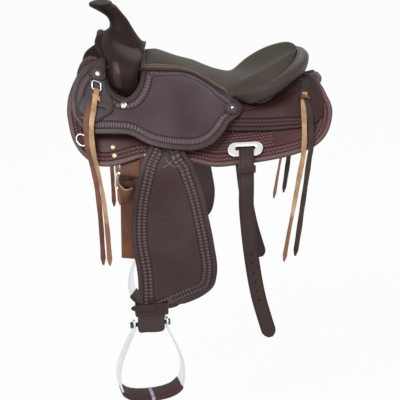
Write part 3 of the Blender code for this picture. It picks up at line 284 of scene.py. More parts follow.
# A pair of values for each point of a grid, as one flat list.
def pairs(u, v):
    return np.stack(np.broadcast_arrays(u, v), axis=-1).reshape(-1, 2)


# One finished piece from whole arrays. uv is one pair for each point; wrap is the length at
# which u starts again, so that no face is stretched back over the seam.
def addPiece(name, points, faces, uv, material, wrap=0.0):
    mesh = bpy.data.meshes.new(name)
    mesh.from_pydata(np.asarray(points, float).tolist(), [], [list(face) for face in faces])
    corners = np.empty(len(mesh.loops), np.int32)
    mesh.loops.foreach_get("vertex_index", corners)
    flat = np.asarray(uv, float)[corners]
    if wrap:
        starts = np.empty(len(mesh.polygons), np.int32)
        mesh.polygons.foreach_get("loop_start", starts)
        owner = np.repeat(np.arange(len(starts)), np.diff(np.append(starts, len(corners))))
        most = np.maximum.reduceat(flat[:, 0], starts)
        flat[:, 0] += wrap * (most[owner] - flat[:, 0] > wrap / 2)
    mesh.uv_layers.new(name="pattern").data.foreach_set("uv", flat.ravel().astype(np.float32))
    mesh.polygons.foreach_set("use_smooth", np.ones(len(mesh.polygons), bool))
    mesh.set_sharp_from_angle(angle=math.radians(48.0))
    mesh.materials.append(material)
    piece = bpy.data.objects.new(name, mesh)
    bpy.context.scene.collection.objects.link(piece)
    return piece


# A piece on the saddle's middle: a shape, its finish and the nodes that it stands for.
def centrePiece(name, shape, finish, *stands, wrap=0.0):
    piece = addPiece(name, *shape, finishes[finish], wrap)
    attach(piece, "saddle")
    for node in stands:
        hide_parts(node)
    return piece


# The same piece on both sides of the saddle: the off one is the near one with y turned round.
# Its body is the saddle, a side's own body, or "fold", for which the piece only has its transform baked and
# stays unattached.
def bothSides(name, shape, finish, body="saddle", stands=(), wrap=0.0):
    points, faces, uv = shape
    made = []
    for sideName, sign in sides:
        turned = faces if sign > 0 else [face[::-1] for face in faces]
        piece = addPiece(f"{sideName}_{name}", points * (1.0, sign, 1.0), turned, uv, finishes[finish], wrap)
        if body == "fold":
            start, end = (tuple(hang(leg["centre"], w, fenderHigh) * (1.0, sign, 1.0)) for w in fender["fold"])
            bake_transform(piece)
        else:
            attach(piece, body if body == "saddle" else f"{sideName}_{body}")
        for node in stands:
            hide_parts(f"{sideName}_{node}")
        made.append(piece)
    return made


# Several shapes as one: points run on, faces are renumbered.
def joined(*shapes):
    points, faces, uv, count = [], [], [], 0
    for shapePoints, shapeFaces, shapeUv in shapes:
        points.append(shapePoints)
        faces += ((np.asarray(face) + count).tolist() for face in shapeFaces)
        uv.append(shapeUv)
        count += len(shapePoints)
    return np.concatenate(points), faces, np.concatenate(uv)


# A rounded bar: a squared circle carried along a path, across giving its width's direction.
# u is the length along the path and v the way across from its middle.
def carry(path, across, width, thickness, power=5.0, around=16, closed=False):
    path = np.asarray(path, float)
    step = np.roll(path, -1, axis=0) - np.roll(path, 1, axis=0) if closed else np.gradient(path, axis=0)
    along = unit(step)
    across = np.broadcast_to(np.asarray(across, float), path.shape)
    across = unit(across - along * (across * along).sum(axis=1, keepdims=True))
    up = np.cross(along, across)
    width, thickness = (np.broadcast_to(size, len(path))[:, None, None] for size in (width, thickness))
    a, b = (part[None, :, None] for part in squared(around, power, 0.5))
    rings = path[:, None] + across[:, None] * a * width / 2 + up[:, None] * b * thickness / 2
    if closed:
        faces = gridFaces(len(path), around, True, True)[:, ::-1].tolist()
    else:
        faces = tubeFaces(len(path), around, turned=True)
    return rings.reshape(-1, 3), faces, pairs(runOf(path)[:, None], (a * width / 2)[..., 0])


# A closed shell between two equal grids: the front, the back turned round, and a wall of
# quads round their edge. u and v are metres along the middle column and the middle row.
def shellOf(front, back):
    rows, cols = front.shape[:2]
    index = np.arange(rows * cols).reshape(rows, cols)
    edge = np.concatenate([index[0, :-1], index[:-1, -1], index[-1, :0:-1], index[:0:-1, 0]])
    grid = gridFaces(rows, cols)
    wall = np.stack([edge, np.roll(edge, -1), np.roll(edge, -1) + rows * cols, edge + rows * cols], axis=1)
    points = np.concatenate([front.reshape(-1, 3), back.reshape(-1, 3)])
    faces = np.concatenate([grid, grid[:, ::-1] + rows * cols, wall[:, ::-1]])
    a, b, c, d = (points[faces[:, k]] for k in range(4))
    volume = (np.cross(b - a, c - a) * a).sum() + (np.cross(c - a, d - a) * a).sum()
    faces = faces if volume > 0 else faces[:, ::-1]
    u, v = runOf(front[:, cols // 2]), runOf(front[rows // 2])
    uv = pairs(u[:, None], v[None, :] - v[-1] / 2)
    return points, faces.tolist(), np.concatenate([uv, uv])


# A round wire along a path.
def wire(path, radius, around=12, closed=False):
    return carry(path, (0.3, 0.5, 0.8), 2 * radius, 2 * radius, 2.0, around, closed)


# A turned piece: a profile of radius and height swept round an axis; each lobe of the rim is
# half a cosine wave, depth deep.
def turned(profile, centre, axis, around=40, lobes=0, depth=0.0):
    axis = unit(axis)
    across = unit(np.cross(axis, (0.31, 0.17, 0.93)))
    other = np.cross(axis, across)
    angle = np.arange(around) * 2 * math.pi / around
    radius, height = np.array(profile, float).T
    wave = 1.0 + depth * np.abs(np.cos(lobes * angle / 2)) - depth
    ring = across * np.cos(angle)[:, None] + other * np.sin(angle)[:, None]
    rings = (centre + axis * height[:, None, None]
             + radius[:, None, None] * wave[None, :, None] * ring[None])
    return rings.reshape(-1, 3), tubeFaces(len(profile), around), pairs(angle[None, :], radius[:, None])


# True for the points inside a closed loop: an odd number of its sides lie to their right.
def insideLoop(points, loop):
    x, y = points[:, 0, None], points[:, 1, None]
    ax, ay = loop.T
    bx, by = np.roll(loop, -1, axis=0).T
    rise = np.where(by == ay, 1e-12, by - ay)
    crossing = ((ay > y) != (by > y)) & (x < (bx - ax) * (y - ay) / rise + ax)
    return crossing.sum(axis=1) % 2 == 1


# Distance from each point to the nearest side of a loop, and how far along the loop that is.
def edgeOf(points, loop):
    start, end = loop, np.roll(loop, -1, axis=0)
    way = end - start
    size = np.linalg.norm(way, axis=1)
    run = np.concatenate([[0.0], np.cumsum(size)])[:-1]
    offset = points[:, None] - start[None]
    share = np.clip((offset * way).sum(axis=2) / size ** 2, 0.0, 1.0)
    away = np.linalg.norm(offset - share[..., None] * way, axis=2)
    nearest = away.argmin(axis=1)
    row = np.arange(len(points))
    return away[row, nearest], run[nearest] + share[row, nearest] * size[nearest]


# A flat cut: the outline, rings that follow it inward, and an even grid in the middle, joined
# into triangles that keep every side of the outline and of the holes.
def flatCut(outline, holes, insets, spacing):
    points, edges, first = [], [], 0
    for loop in (outline, *holes):
        points.append(loop)
        edges += [(first + i, first + (i + 1) % len(loop)) for i in range(len(loop))]
        first += len(loop)

    def clearOf(places, room):
        keep = np.ones(len(places), bool)
        for hole in holes:
            keep &= ~insideLoop(places, hole) & (edgeOf(places, hole)[0] > room)
        return keep

    area = (outline[:, 0] * np.roll(outline[:, 1], -1) - np.roll(outline[:, 0], -1) * outline[:, 1]).sum()
    along = unit(np.roll(outline, -1, axis=0) - np.roll(outline, 1, axis=0))
    inward = np.stack([-along[:, 1], along[:, 0]], axis=1) * np.sign(area)
    for inset in insets:
        ring = outline + inward * inset
        keep = (edgeOf(ring, outline)[0] > 0.97 * inset) & insideLoop(ring, outline)
        points.append(ring[keep & clearOf(ring, 0.001)])
    low, high = outline.min(axis=0), outline.max(axis=0)
    grid = np.stack(np.meshgrid(*(np.arange(low[k], high[k], spacing) for k in (0, 1))), -1).reshape(-1, 2)
    grid = grid[insideLoop(grid, outline)]
    grid = grid[edgeOf(grid, outline)[0] > insets[-1] + 0.5 * spacing]
    points = np.concatenate([*points, grid[clearOf(grid, 0.002)]])
    made = delaunay_2d_cdt([Vector(p) for p in points], edges, [], 0, 1e-7)
    flat = np.array([tuple(p) for p in made[0]])
    triangles = np.array(made[2])
    middles = flat[triangles].mean(axis=1)
    keep = insideLoop(middles, outline)
    for hole in holes:
        keep &= ~insideLoop(middles, hole)
    used, triangles = np.unique(triangles[keep], return_inverse=True)
    return flat[used], triangles.reshape(-1, 3)


# A leather panel: the flat cut laid on a surface twice, its top edge rounded, walls between.
# u runs along the edge, or along a guide near it, and v in from it; v is below zero underneath.
def panel(lay, outline, low, top, holes=(), rounding=0.0015, insets=(0.0005, 0.0015, 0.006, 0.012, 0.018),
          spacing=0.010, guide=None):
    flat, triangles = flatCut(outline, holes, insets, spacing)
    x, s = flat.T
    away, run = edgeOf(flat, outline)
    rim = away
    for hole in holes:
        rim = np.minimum(rim, edgeOf(flat, hole)[0])
    upper, lower = lay(x, s, top(x, s) - roundDrop(rim, rounding)), lay(x, s, low(x, s))
    count = len(flat)
    a, b = triangles[:, (0, 1, 2)].ravel(), triangles[:, (1, 2, 0)].ravel()
    bare = ~np.isin(a * count + b, b * count + a)
    a, b = a[bare], b[bare]
    walls = np.stack([b, a, a + count, b + count], axis=1)
    faces = (triangles[:, ::-1] + count).tolist() + triangles.tolist() + walls[:, ::-1].tolist()
    if guide is not None:
        away, run = edgeOf(flat, guide)
    uv = np.concatenate([np.stack([run, -0.004 - away], axis=1), np.stack([run, away], axis=1)])
    return (np.concatenate([lower, upper]), faces, uv), runOf(np.concatenate([outline, outline[:1]]))[-1]


# A socket that sums work on: each operator adds a Math node.
class Strand:
    def __init__(self, tree, socket=None):
        self.tree, self.socket = tree, socket

    # Any node: its type, its settings, then the values or links of its sockets.
    def make(self, kind, settings=None, inputs=None, out=0):
        node = self.tree.nodes.new("ShaderNode" + kind)
        for name, value in (settings or {}).items():
            setattr(node, name, value)
        for name, value in (inputs or {}).items():
            if isinstance(value, Strand):
                self.tree.links.new(value.socket, node.inputs[name])
            else:
                node.inputs[name].default_value = value
        return Strand(self.tree, node.outputs[out])

    def sum(self, operation, *others):
        return self.make("Math", {"operation": operation}, dict(enumerate((self, *others))))

    def __add__(self, other):
        return self.sum("ADD", other)

    __radd__ = __add__

    def __sub__(self, other):
        return self.sum("SUBTRACT", other)

    def __rsub__(self, other):
        return self.make("Math", {"operation": "SUBTRACT"}, {0: other, 1: self})

    def __mul__(self, other):
        return self.sum("MULTIPLY", other)

    def __truediv__(self, other):
        return self.sum("DIVIDE", other)

    def fraction(self):
        return self.sum("FRACT")

    def highest(self, other):
        return self.sum("MAXIMUM", other)

    # Held between 0 and 1.
    def share(self):
        return self.sum("MAXIMUM", 0.0).sum("MINIMUM", 1.0)

    # 1 on a line at a value, falling to 0 at the given reach to each side.
    def line(self, at, reach):
        return (1.0 - (self - at).sum("ABSOLUTE") / reach).highest(0.0)

    # 1 between two values, 0 elsewhere.
    def between(self, low, high):
        return self.sum("GREATER_THAN", low) * self.sum("LESS_THAN", high)

    # Two colours mixed by this strand.
    def blendOf(self, first, second):
        inputs = {0: self}
        for key, colour in ((6, first), (7, second)):
            inputs[key] = colour if isinstance(colour, Strand) else (*colour, 1.0)
        return self.make("Mix", {"data_type": "RGBA"}, inputs, 2)

    # This strand feeds a shader's socket.
    def feed(self, shader, socket):
        self.tree.links.new(self.socket, shader.inputs[socket])


# A material with its shader and a pen for its nodes.
def newMaterial(name):
    material = bpy.data.materials.new(name)
    material.use_nodes = True
    pen = Strand(material.node_tree)
    return material, material.node_tree.nodes["Principled BSDF"], pen


# A noise or cell texture on Object coordinates.
def textureOf(pen, place, scale, detail=None, distortion=0.0, kind="TexNoise"):
    inputs = {"Vector": place, "Scale": scale}
    if detail is not None:
        inputs.update({"Detail": detail, "Distortion": distortion})
    return pen.make(kind, {"feature": "SMOOTH_F1"} if kind == "TexVoronoi" else {}, inputs)


# A colour times a share.
def scaled(colour, share):
    return [c * share for c in colour]


# Leather: clouded colour, pebble grain and creases. What follows the edge comes from its look:
# a lighter border band painted as the highlight of the flat margin, tooled bands (rows of staggered
# lozenges, or one row of bars) with painted shade in their hollows and a painted highlight on their
# crests, scored lines darkened as painted shade, stitches, a burnished edge, punched holes painted
# near-black as their shade, and a second colour further along.
def leather(name, dark, light, rough=0.46, **look):
    material, shader, pen = newMaterial(name)
    place = pen.make("TexCoord", out="Object")
    cloud = textureOf(pen, place, look.get("cloud", 7.0), 4.0)
    grain = textureOf(pen, place, look.get("grain", 620.0), kind="TexVoronoi")
    crease = textureOf(pen, place, 90.0, 3.0, 1.2)
    pattern = pen.make("UVMap", {"uv_map": "pattern"})
    u, v = (pen.make("SeparateXYZ", {}, {"Vector": pattern}, k) for k in (0, 1))
    placeX, placeZ = (pen.make("SeparateXYZ", {}, {"Vector": place}, k) for k in (0, 2))
    if look.get("centred"):
        v = look["centred"] - v.sum("ABSOLUTE")
    colour = ((cloud - 0.5) * 2.4 * look.get("mottle", 0.8) + 0.5).share().blendOf(dark, light)
    height = grain * 0.10 + crease * look.get("wrinkle", 0.15)
    # Painted highlight: the border is a lighter band along the flat margin at the edge.
    if look.get("border"):
        width, marginHighlight = look["border"]
        colour = (v.between(0.0, width) * 0.75).blendOf(colour, marginHighlight)
    shadedHollows, highlitCrests = [], []
    for start, end, period, rows, *span in look.get("bands", ()):
        row = (v - start) / ((end - start) / rows)
        inBand = v.between(start, end)
        for low, high in span:
            inBand = inBand * placeX.between(low, high)
        slant = row.fraction() if rows > 1 else (row - 0.5) * (row - 0.5)
        along = (u / period + row.sum("FLOOR") * 0.5 + slant * 0.5).fraction()
        lozenge = (along * math.pi).sum("SINE") * (row.fraction() * math.pi).sum("SINE")
        lozenge = lozenge.highest(0.0).sum("POWER", 0.6 if rows > 1 else 0.8)
        notch = along.line(0.5, 0.10) * (0.5 if rows > 1 else 0.0)
        shadedHollows.append(inBand * (1.0 - lozenge + notch))
        highlitCrests.append(inBand * lozenge * lozenge)
    shadedHollows += [v.line(at, 0.0009) for at in look.get("lines", ())]
    mask = None
    if look.get("only"):
        low, high, above = look["only"]
        mask = placeX.between(low, high) * placeZ.sum("GREATER_THAN", above)
    deep, crest = (highestOf(parts, mask) for parts in (shadedHollows, highlitCrests))
    # Painted shade: the tooled hollows and scored lines are darkened in colour as well as sunk.
    if deep:
        height = height - deep * look.get("tooling", 0.9)
        colour = (deep * 0.78).sum("MINIMUM", 1.0).blendOf(colour, scaled(dark, 0.22))
    # Painted highlight: the crests of the lozenges are lightened.
    if crest:
        colour = (crest * 0.62).blendOf(colour, scaled(light, 2.6))
    for at, period in look.get("stitches", ()):
        half = look.get("threadHalf", 0.0007)
        sewn = v.between(at - half, at + half) * (u / period).fraction().between(0.10, 0.86)
        height = height + sewn * 0.45 - v.line(at, 0.0016) * 0.35
        colour = sewn.blendOf(colour, look["thread"])
    if look.get("edged"):
        colour = (v.line(0.0, 0.0022) * 0.8).blendOf(colour, look.get("edgeColour", scaled(dark, 0.35)))
    # Painted shade: punched holes are coloured near-black.
    for x, y, size in look.get("holes", ()):
        punched = ((u - x) * (u - x) + (v - y) * (v - y)).sum("SQRT").sum("LESS_THAN", size)
        height = height - punched * 1.4
        colour = punched.blendOf(colour, (0.004, 0.003, 0.003))
    if look.get("later"):
        start, laterDark, laterLight = look["later"]
        colour = ((u - start) / 0.012).share().blendOf(colour, cloud.blendOf(laterDark, laterLight))
    shader.inputs["Specular IOR Level"].default_value = look.get("specular", 0.26)
    colour.feed(shader, "Base Color")
    (cloud * 0.16 + (rough - 0.08)).feed(shader, "Roughness")
    pen.make("Bump", {}, {"Strength": 1.0, "Distance": 0.0012, "Height": height}).feed(shader, "Normal")
    return material


# The highest of several strands, times a mask; None where there are none.
def highestOf(parts, mask):
    top = None
    for part in parts:
        top = part if top is None else top.highest(part)
    return top * mask if top and mask else top


# Metal: plain colour with faint wear in its gloss and fine scratches in its surface.
def metal(name, colour, rough, scratch=0.06, wear=0.10):
    material, shader, pen = newMaterial(name)
    place = pen.make("TexCoord", out="Object")
    cloud, fine = textureOf(pen, place, 34.0, 5.0), textureOf(pen, place, 900.0, 2.0)
    shader.inputs["Metallic"].default_value = 1.0
    cloud.blendOf(scaled(colour, 0.86), colour).feed(shader, "Base Color")
    (cloud * wear * 2 + (rough - wear)).feed(shader, "Roughness")
    height = fine * scratch + cloud * 0.4
    pen.make("Bump", {}, {"Strength": 0.5, "Distance": 0.0003, "Height": height}).feed(shader, "Normal")
    return material


# Fleece: clouded cream curls.
def woolly(name, dark, light):
    material, shader, pen = newMaterial(name)
    place = pen.make("TexCoord", out="Object")
    curl, cloud = textureOf(pen, place, 210.0, 5.0, 2.2), textureOf(pen, place, 16.0, 3.0)
    (curl * 0.7 + cloud * 0.3).blendOf(dark, light).feed(shader, "Base Color")
    shader.inputs["Roughness"].default_value = 0.95
    pen.make("Bump", {}, {"Strength": 1.0, "Distance": 0.004, "Height": curl}).feed(shader, "Normal")
    return material


# Wood of the tree: rings stretched along the horse.
def woody(name, dark, light):
    material, shader, pen = newMaterial(name)
    place = pen.make("TexCoord", out="Object")
    stretched = pen.make("Mapping", {}, {"Vector": place, "Scale": (4.0, 46.0, 46.0)})
    ring = textureOf(pen, stretched, 1.6, 5.0, 0.6)
    ring.blendOf(dark, light).feed(shader, "Base Color")
    shader.inputs["Roughness"].default_value = 0.62
    pen.make("Bump", {}, {"Strength": 0.4, "Distance": 0.001, "Height": ring}).feed(shader, "Normal")
    return material


# A band is start, end, period along the edge and rows, with a span of x where it has one.
# A border is a painted highlight of the flat margin; tooled hollows and scored lines get painted shade.
finishes = {
    "skirt": leather("skirt leather", (0.048, 0.0135, 0.0145), (0.112, 0.048, 0.050), edged=True,
                     border=(0.0104, (0.150, 0.080, 0.080)), lines=(0.0112, 0.0308),
                     bands=((0.0120, 0.0300, 0.0074, 2), (0.0330, 0.0900, 0.0078, 7, (0.000, 0.165))),
                     stitches=((0.0050, 0.0042),), thread=(0.30, 0.22, 0.18)),
    "housing": leather("housing leather", (0.024, 0.0075, 0.0070), (0.056, 0.022, 0.021), edged=True,
                       bands=((0.0090, 0.0240, 0.0072, 2),), lines=(0.0082, 0.0248), only=(-1.0, 0.236, -1.0)),
    "jockey": leather("jockey leather", (0.044, 0.0240, 0.0250), (0.098, 0.068, 0.073), 0.42, edged=True,
                      bands=((0.0120, 0.0270, 0.0058, 1),), lines=(0.0112, 0.0278)),
    "plate": leather("string plate leather", (0.050, 0.036, 0.036), (0.088, 0.068, 0.069), edged=True,
                     lines=(0.0035,), tooling=0.5),
    "fender": leather("fender leather", (0.034, 0.0125, 0.0120), (0.076, 0.050, 0.051), 0.40, edged=True,
                      bands=((0.0116, 0.0230, 0.0078, 1), (0.0230, 0.0344, 0.0078, 1)),
                      lines=(0.0108, 0.0350), only=(-1.0, 1.0, float(hang(-0.111, 0.604, 0.0)[2]))),
    "strap": leather("strap leather", (0.033, 0.015, 0.013), (0.066, 0.034, 0.030), 0.50),
    "fork": leather("fork leather", (0.015, 0.0066, 0.0058), (0.038, 0.019, 0.0165), 0.54, specular=0.15,
                    wrinkle=0.30, grain=480.0),
    "horn": leather("horn leather", (0.012, 0.0064, 0.0056), (0.030, 0.017, 0.0145), 0.54, specular=0.12,
                    wrinkle=0.30),
    "braid": leather("braid leather", (0.026, 0.0140, 0.0125), (0.056, 0.034, 0.030), 0.38, wrinkle=0.2),
    "seat": leather("seat leather", (0.040, 0.031, 0.0235), (0.070, 0.055, 0.043), 0.62, edged=True,
                    cloud=6.0, mottle=0.35, border=(0.0108, (0.095, 0.060, 0.052)), lines=(0.0112,),
                    tooling=0.5, stitches=((0.0035, 0.0045), (0.0078, 0.0045)), thread=(0.27, 0.195, 0.170),
                    edgeColour=(0.030, 0.019, 0.016)),
    "roll": leather("roll leather", (0.034, 0.024, 0.020), (0.066, 0.050, 0.043), 0.50, cloud=9.0, mottle=0.4,
                    lines=(0.0052,), tooling=0.6, stitches=((0.0075, 0.0052),), thread=(0.26, 0.205, 0.17),
                    threadHalf=0.0011),
    "latigo": leather("latigo leather", (0.075, 0.024, 0.013), (0.230, 0.088, 0.050), 0.55, cloud=16.0,
                      mottle=0.9),
    "coil": leather("coiled leather", (0.024, 0.014, 0.009), (0.110, 0.058, 0.034), 0.55, cloud=60.0,
                    mottle=1.0, wrinkle=0.8, centred=0.019, lines=(0.004, 0.008, 0.012, 0.016)),
    "rim": leather("cut leather edge", (0.30, 0.17, 0.10), (0.50, 0.32, 0.22), 0.7, cloud=9.0, mottle=0.5),
    "string": leather("string leather", (0.300, 0.160, 0.080), (0.660, 0.440, 0.260), 0.68, cloud=26.0,
                      mottle=1.0, wrinkle=0.4,
                      later=(0.300, (0.200, 0.085, 0.050), (0.420, 0.220, 0.140))),
    "russet": leather("russet string leather", (0.095, 0.036, 0.024), (0.250, 0.110, 0.078), 0.62,
                      cloud=22.0, mottle=1.0, wrinkle=0.4),
    "umber": leather("umber string leather", (0.026, 0.0170, 0.0130), (0.066, 0.044, 0.034), 0.58,
                     cloud=26.0, wrinkle=0.4),
    "billet": leather("billet leather", (0.034, 0.0150, 0.0130), (0.066, 0.036, 0.032), 0.50, centred=0.017,
                      lines=(0.0035,), tooling=0.5),
    "neck": leather("neck leather", (0.028, 0.0115, 0.0100), (0.052, 0.026, 0.023), 0.50, centred=0.0290,
                    wrinkle=0.05, lines=(0.004,)),
    "hobble": leather("hobble leather", (0.030, 0.0140, 0.0130), (0.054, 0.032, 0.030)),
    # Painted shadow: the rosette's dark rim lines stand for the shadow round its scallops.
    "rosette": leather("rosette leather", (0.054, 0.040, 0.040), (0.094, 0.074, 0.074), 0.50,
                       lines=(0.0152, 0.0194, 0.0200)),
    "thread": leather("linen thread", (0.20, 0.19, 0.20), (0.36, 0.34, 0.36), 0.8, cloud=9.0, mottle=0.5,
                      grain=1500.0),
    "lilac": leather("lilac band", (0.230, 0.170, 0.330), (0.560, 0.500, 0.660), 0.7, cloud=80.0, mottle=1.0),
    "lacing": leather("lacing leather", (0.042, 0.026, 0.024), (0.078, 0.052, 0.048), 0.50),
    "tread": leather("tread leather", (0.034, 0.0140, 0.0130), (0.070, 0.034, 0.032), 0.55, wrinkle=0.3),
    "nickel": metal("nickel", (0.93, 0.92, 0.90), 0.22),
    "steel": metal("steel", (0.085, 0.085, 0.09), 0.50),
    "aluminium": metal("aluminium", (0.84, 0.88, 0.89), 0.30, 0.10),
    "brass": metal("brass", (0.92, 0.76, 0.46), 0.30),
    "fleece": woolly("fleece wool", (0.46, 0.38, 0.27), (0.74, 0.68, 0.56)),
    "wood": woody("stained tree wood", (0.040, 0.022, 0.014), (0.110, 0.066, 0.040)),
}
print("finishes made")


view = {"elevation": 19.0, "distance": 3.3, "target": (0.0, 0.0, -0.265), "lens": 121.7, "sensor": 36.0}
lamps = {"key": ((-1.6, -2.6, 2.6), 88.0, 1.8), "fill": ((2.4, -2.2, 1.2), 30.0, 2.4),
         "rim": ((0.8, 2.6, 2.2), 16.0, 1.6)}
studio = {"world": 0.42, "shiny": 0.38, "aim": (0.0, 0.0, -0.25), "reach": 30.0, "floor": -0.90,
          "floorColour": 0.86, "floorWhite": 0.95}


# A thing in the scene, turned to face a target.
def turnTo(thing, target):
    thing.rotation_euler = (Vector(target) - thing.location).to_track_quat("-Z", "Y").to_euler()
    bpy.context.scene.collection.objects.link(thing)


# The camera stands at the photograph's elevation, square to the near side.
def setCamera():
    camera = bpy.data.objects.new("camera", bpy.data.cameras.new("camera"))
    rise = math.radians(view["elevation"])
    camera.location = Vector(view["target"]) + view["distance"] * Vector((0.0, -math.cos(rise), math.sin(rise)))
    turnTo(camera, view["target"])
    camera.data.lens, camera.data.sensor_width = view["lens"], view["sensor"]
    bpy.context.scene.camera = camera


# Three soft lamps, a world that is white to the camera and dimmer to the saddle, and a pale
# floor that is nearly white to the camera and keeps a faint shadow.
def setStage():
    scene = bpy.context.scene
    scene.view_settings.view_transform = "Standard"
    for name, (place, power, size) in lamps.items():
        lamp = bpy.data.objects.new(name, bpy.data.lights.new(name, "AREA"))
        lamp.data.energy, lamp.data.size, lamp.location = power, size, place
        turnTo(lamp, studio["aim"])
    scene.world = bpy.data.worlds.new("studio")
    scene.world.use_nodes = True
    tree = scene.world.node_tree
    rays = Strand(tree).make("LightPath", out="Is Camera Ray")
    shiny, clear = (Strand(tree, rays.socket.node.outputs[f"Is {kind} Ray"])
                    for kind in ("Glossy", "Transmission"))
    strength = studio["world"] + rays.highest(clear) * (1.0 - studio["world"]) + shiny * studio["shiny"]
    tree.nodes["Background"].inputs["Color"].default_value = (1.0, 1.0, 1.0, 1.0)
    strength.feed(tree.nodes["Background"], "Strength")
    reach, height = studio["reach"], studio["floor"]
    floor = bpy.data.objects.new("floor", bpy.data.meshes.new("floor"))
    corners = [(x * reach, y * reach, height) for x, y in ((-1, -1), (1, -1), (1, 1), (-1, 1))]
    floor.data.from_pydata(corners, [], [(0, 1, 2, 3)])
    material, shader, pen = newMaterial("pale floor")
    shader.inputs["Base Color"].default_value = (*[studio["floorColour"]] * 3, 1.0)
    shader.inputs["Roughness"].default_value = 0.9
    rays = pen.make("LightPath", out="Is Camera Ray")
    shiny = Strand(pen.tree, rays.socket.node.outputs["Is Glossy Ray"])
    white = pen.make("Emission", {}, {"Color": (1.0, 1.0, 1.0, 1.0), "Strength": 1.0})
    mixed = pen.make("MixShader", {}, {0: rays.highest(shiny) * studio["floorWhite"],
                                       1: Strand(pen.tree, shader.outputs[0]), 2: white})
    mixed.feed(pen.tree.nodes["Material Output"], "Surface")
    floor.data.materials.append(material)
    scene.collection.objects.link(floor)


setCamera()
setStage()
print("camera and studio set")


# Tie strings: the laces' sizes, the tails' lengths, the tip's length and least share of the
# width, the way they face once they hang, and each knot's half width and half depth.
strings = {"width": 0.012, "thickness": 0.0022, "front": 0.415, "rear": 0.420, "deeHalf": 0.0102,
           "wire": 0.00134, "step": 0.005, "tip": 0.024, "tipShare": 0.34, "waver": 0.05, "after": 0.012,
           "hangs": (0.97, -0.24, 0.0), "knot": {"front": (0.0078, 0.0050), "rear": (0.0088, 0.0058)}}
tailFinish = {"front_inner_tail": "russet", "front_outer_tail": "string", "rear_inner_tail": "string",
              "rear_outer_tail": "umber"}


# A tail's route: points laid on a layer, then points hung below the last of them.
def tailPoints(laid, hung):
    points = [side(x * mm, s * mm, float(cover(np.array(x * mm), np.array(s * mm))) + lift * mm)
              for x, s, cover, lift in laid]
    return points + [points[-1] + np.array((x * mm, 0.0, -drop * mm)) for x, drop in hung]


# One hanging lace: a flat bar along the route that turns slowly on itself and narrows in a
# straight line to its tip. Its width wavers by a sine.
def stringTail(sideName, sign, label, points, length, along, turns, node):
    path = through(points, strings["step"])
    run = runOf(path)
    print(f"{sideName} {label}: route {run[-1]:.3f} m")
    path = readAt(path, np.linspace(0.0, min(length, run[-1]), int(length / strings["step"])))
    share = np.linspace(0.0, 1.0, len(path))
    settled = ramp(share, 0.02, 0.16)[:, None]
    across = along * (1.0 - settled) + np.array(strings["hangs"]) * settled
    tangent = unit(np.gradient(path, axis=0))
    across = unit(across - tangent * (across * tangent).sum(axis=1, keepdims=True))
    angle = np.radians(np.interp(share, *turns))[:, None]
    across = across * np.cos(angle) + np.cross(tangent, across) * np.sin(angle)
    left, least = (1.0 - share) * length, strings["tipShare"]
    width = strings["width"] * np.clip(least + left / strings["tip"], least, 1.0)
    width = width * (1.0 + strings["waver"] * np.sin(share * 37.0 + len(label)))
    thickness = strings["thickness"] * np.clip(left / 0.008 + 0.5, 0.5, 1.0)
    rings, faces, uv = carry(path, across, width, thickness, 4.0, 14)
    faces = faces if sign > 0 else [face[::-1] for face in faces]
    piece = addPiece(f"{sideName}_{label}", rings * (1.0, sign, 1.0), faces, uv, finishes[tailFinish[label]])
    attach(piece, "saddle")
    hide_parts(node)
    route = path * (1.0, sign, 1.0)


# Where each pair turns, and its tails: points laid on a layer with their lift off it, points
# hung below, and the turn in degrees at shares of the length.
frontDee = spotOn(-235, 129, plateTop)
frontTurn = frontDee[0] + frontDee[3] * (0.0020 + strings["thickness"] + strings["wire"])
frontTurn = frontTurn + frontDee[2] * strings["deeHalf"]
frontRadius = strings["wire"] + 0.0006 + strings["thickness"] / 2
rearKnot = spotOn(240, 98, housingTop)
rearRadius = 0.0016
rearTurn = rearKnot[0] + rearKnot[3] * (0.0012 + strings["thickness"] / 2 + rearRadius)
skirtFace = level(0.0)
routes = {
    "front": (frontTurn, frontRadius, frontDee, strings["front"], {
        "inner": (((-248, 168, plateTop, 3.0), (-252, 190, plateTop, 3.6), (-256, 208, jockeyTop, 7.5),
                   (-256, 238, jockeyTop, 4.5), (-252, 270, skirtFace, 19.0)),
                  ((11, 46), (19, 98), (24, 159), (27, 229), (29, 299)),
                  ((0.0, 0.3, 0.55, 0.8, 1.0), (0, 6, -22, -48, -30))),
        "outer": (((-238, 168, plateTop, 6.5), (-240, 190, plateTop, 6.5), (-243, 208, jockeyTop, 11.0),
                   (-244, 236, jockeyTop, 6.0), (-240, 270, skirtFace, 21.0)),
                  ((9, 44), (19, 100), (25, 156), (29, 211), (32, 276)),
                  ((0.0, 0.3, 0.5, 0.75, 1.0), (0, -8, 30, 12, -14)))}),
    "rear": (rearTurn, rearRadius, rearKnot, strings["rear"], {
        "inner": (((236, 125, housingTop, 3.4), (236, 155, housingTop, 4.0), (236, 188, housingTop, 3.5),
                   (235, 225, skirtFace, 4.5), (232, 256, skirtFace, 6.5)),
                  ((-1, 13), (-10, 69), (-20, 136), (-31, 206), (-42, 286)),
                  ((0.0, 0.3, 0.6, 0.8, 1.0), (0, 4, 24, 46, 20))),
        "outer": (((244, 125, housingTop, 6.5), (248, 155, housingTop, 6.5), (250, 188, housingTop, 7.0),
                   (250, 225, skirtFace, 8.5), (248, 256, skirtFace, 10.5)),
                  ((-3, 20), (-9, 75), (-16, 136), (-22, 191), (-30, 256)),
                  ((0.0, 0.35, 0.6, 0.85, 1.0), (0, -6, -34, -12, 16)))})}


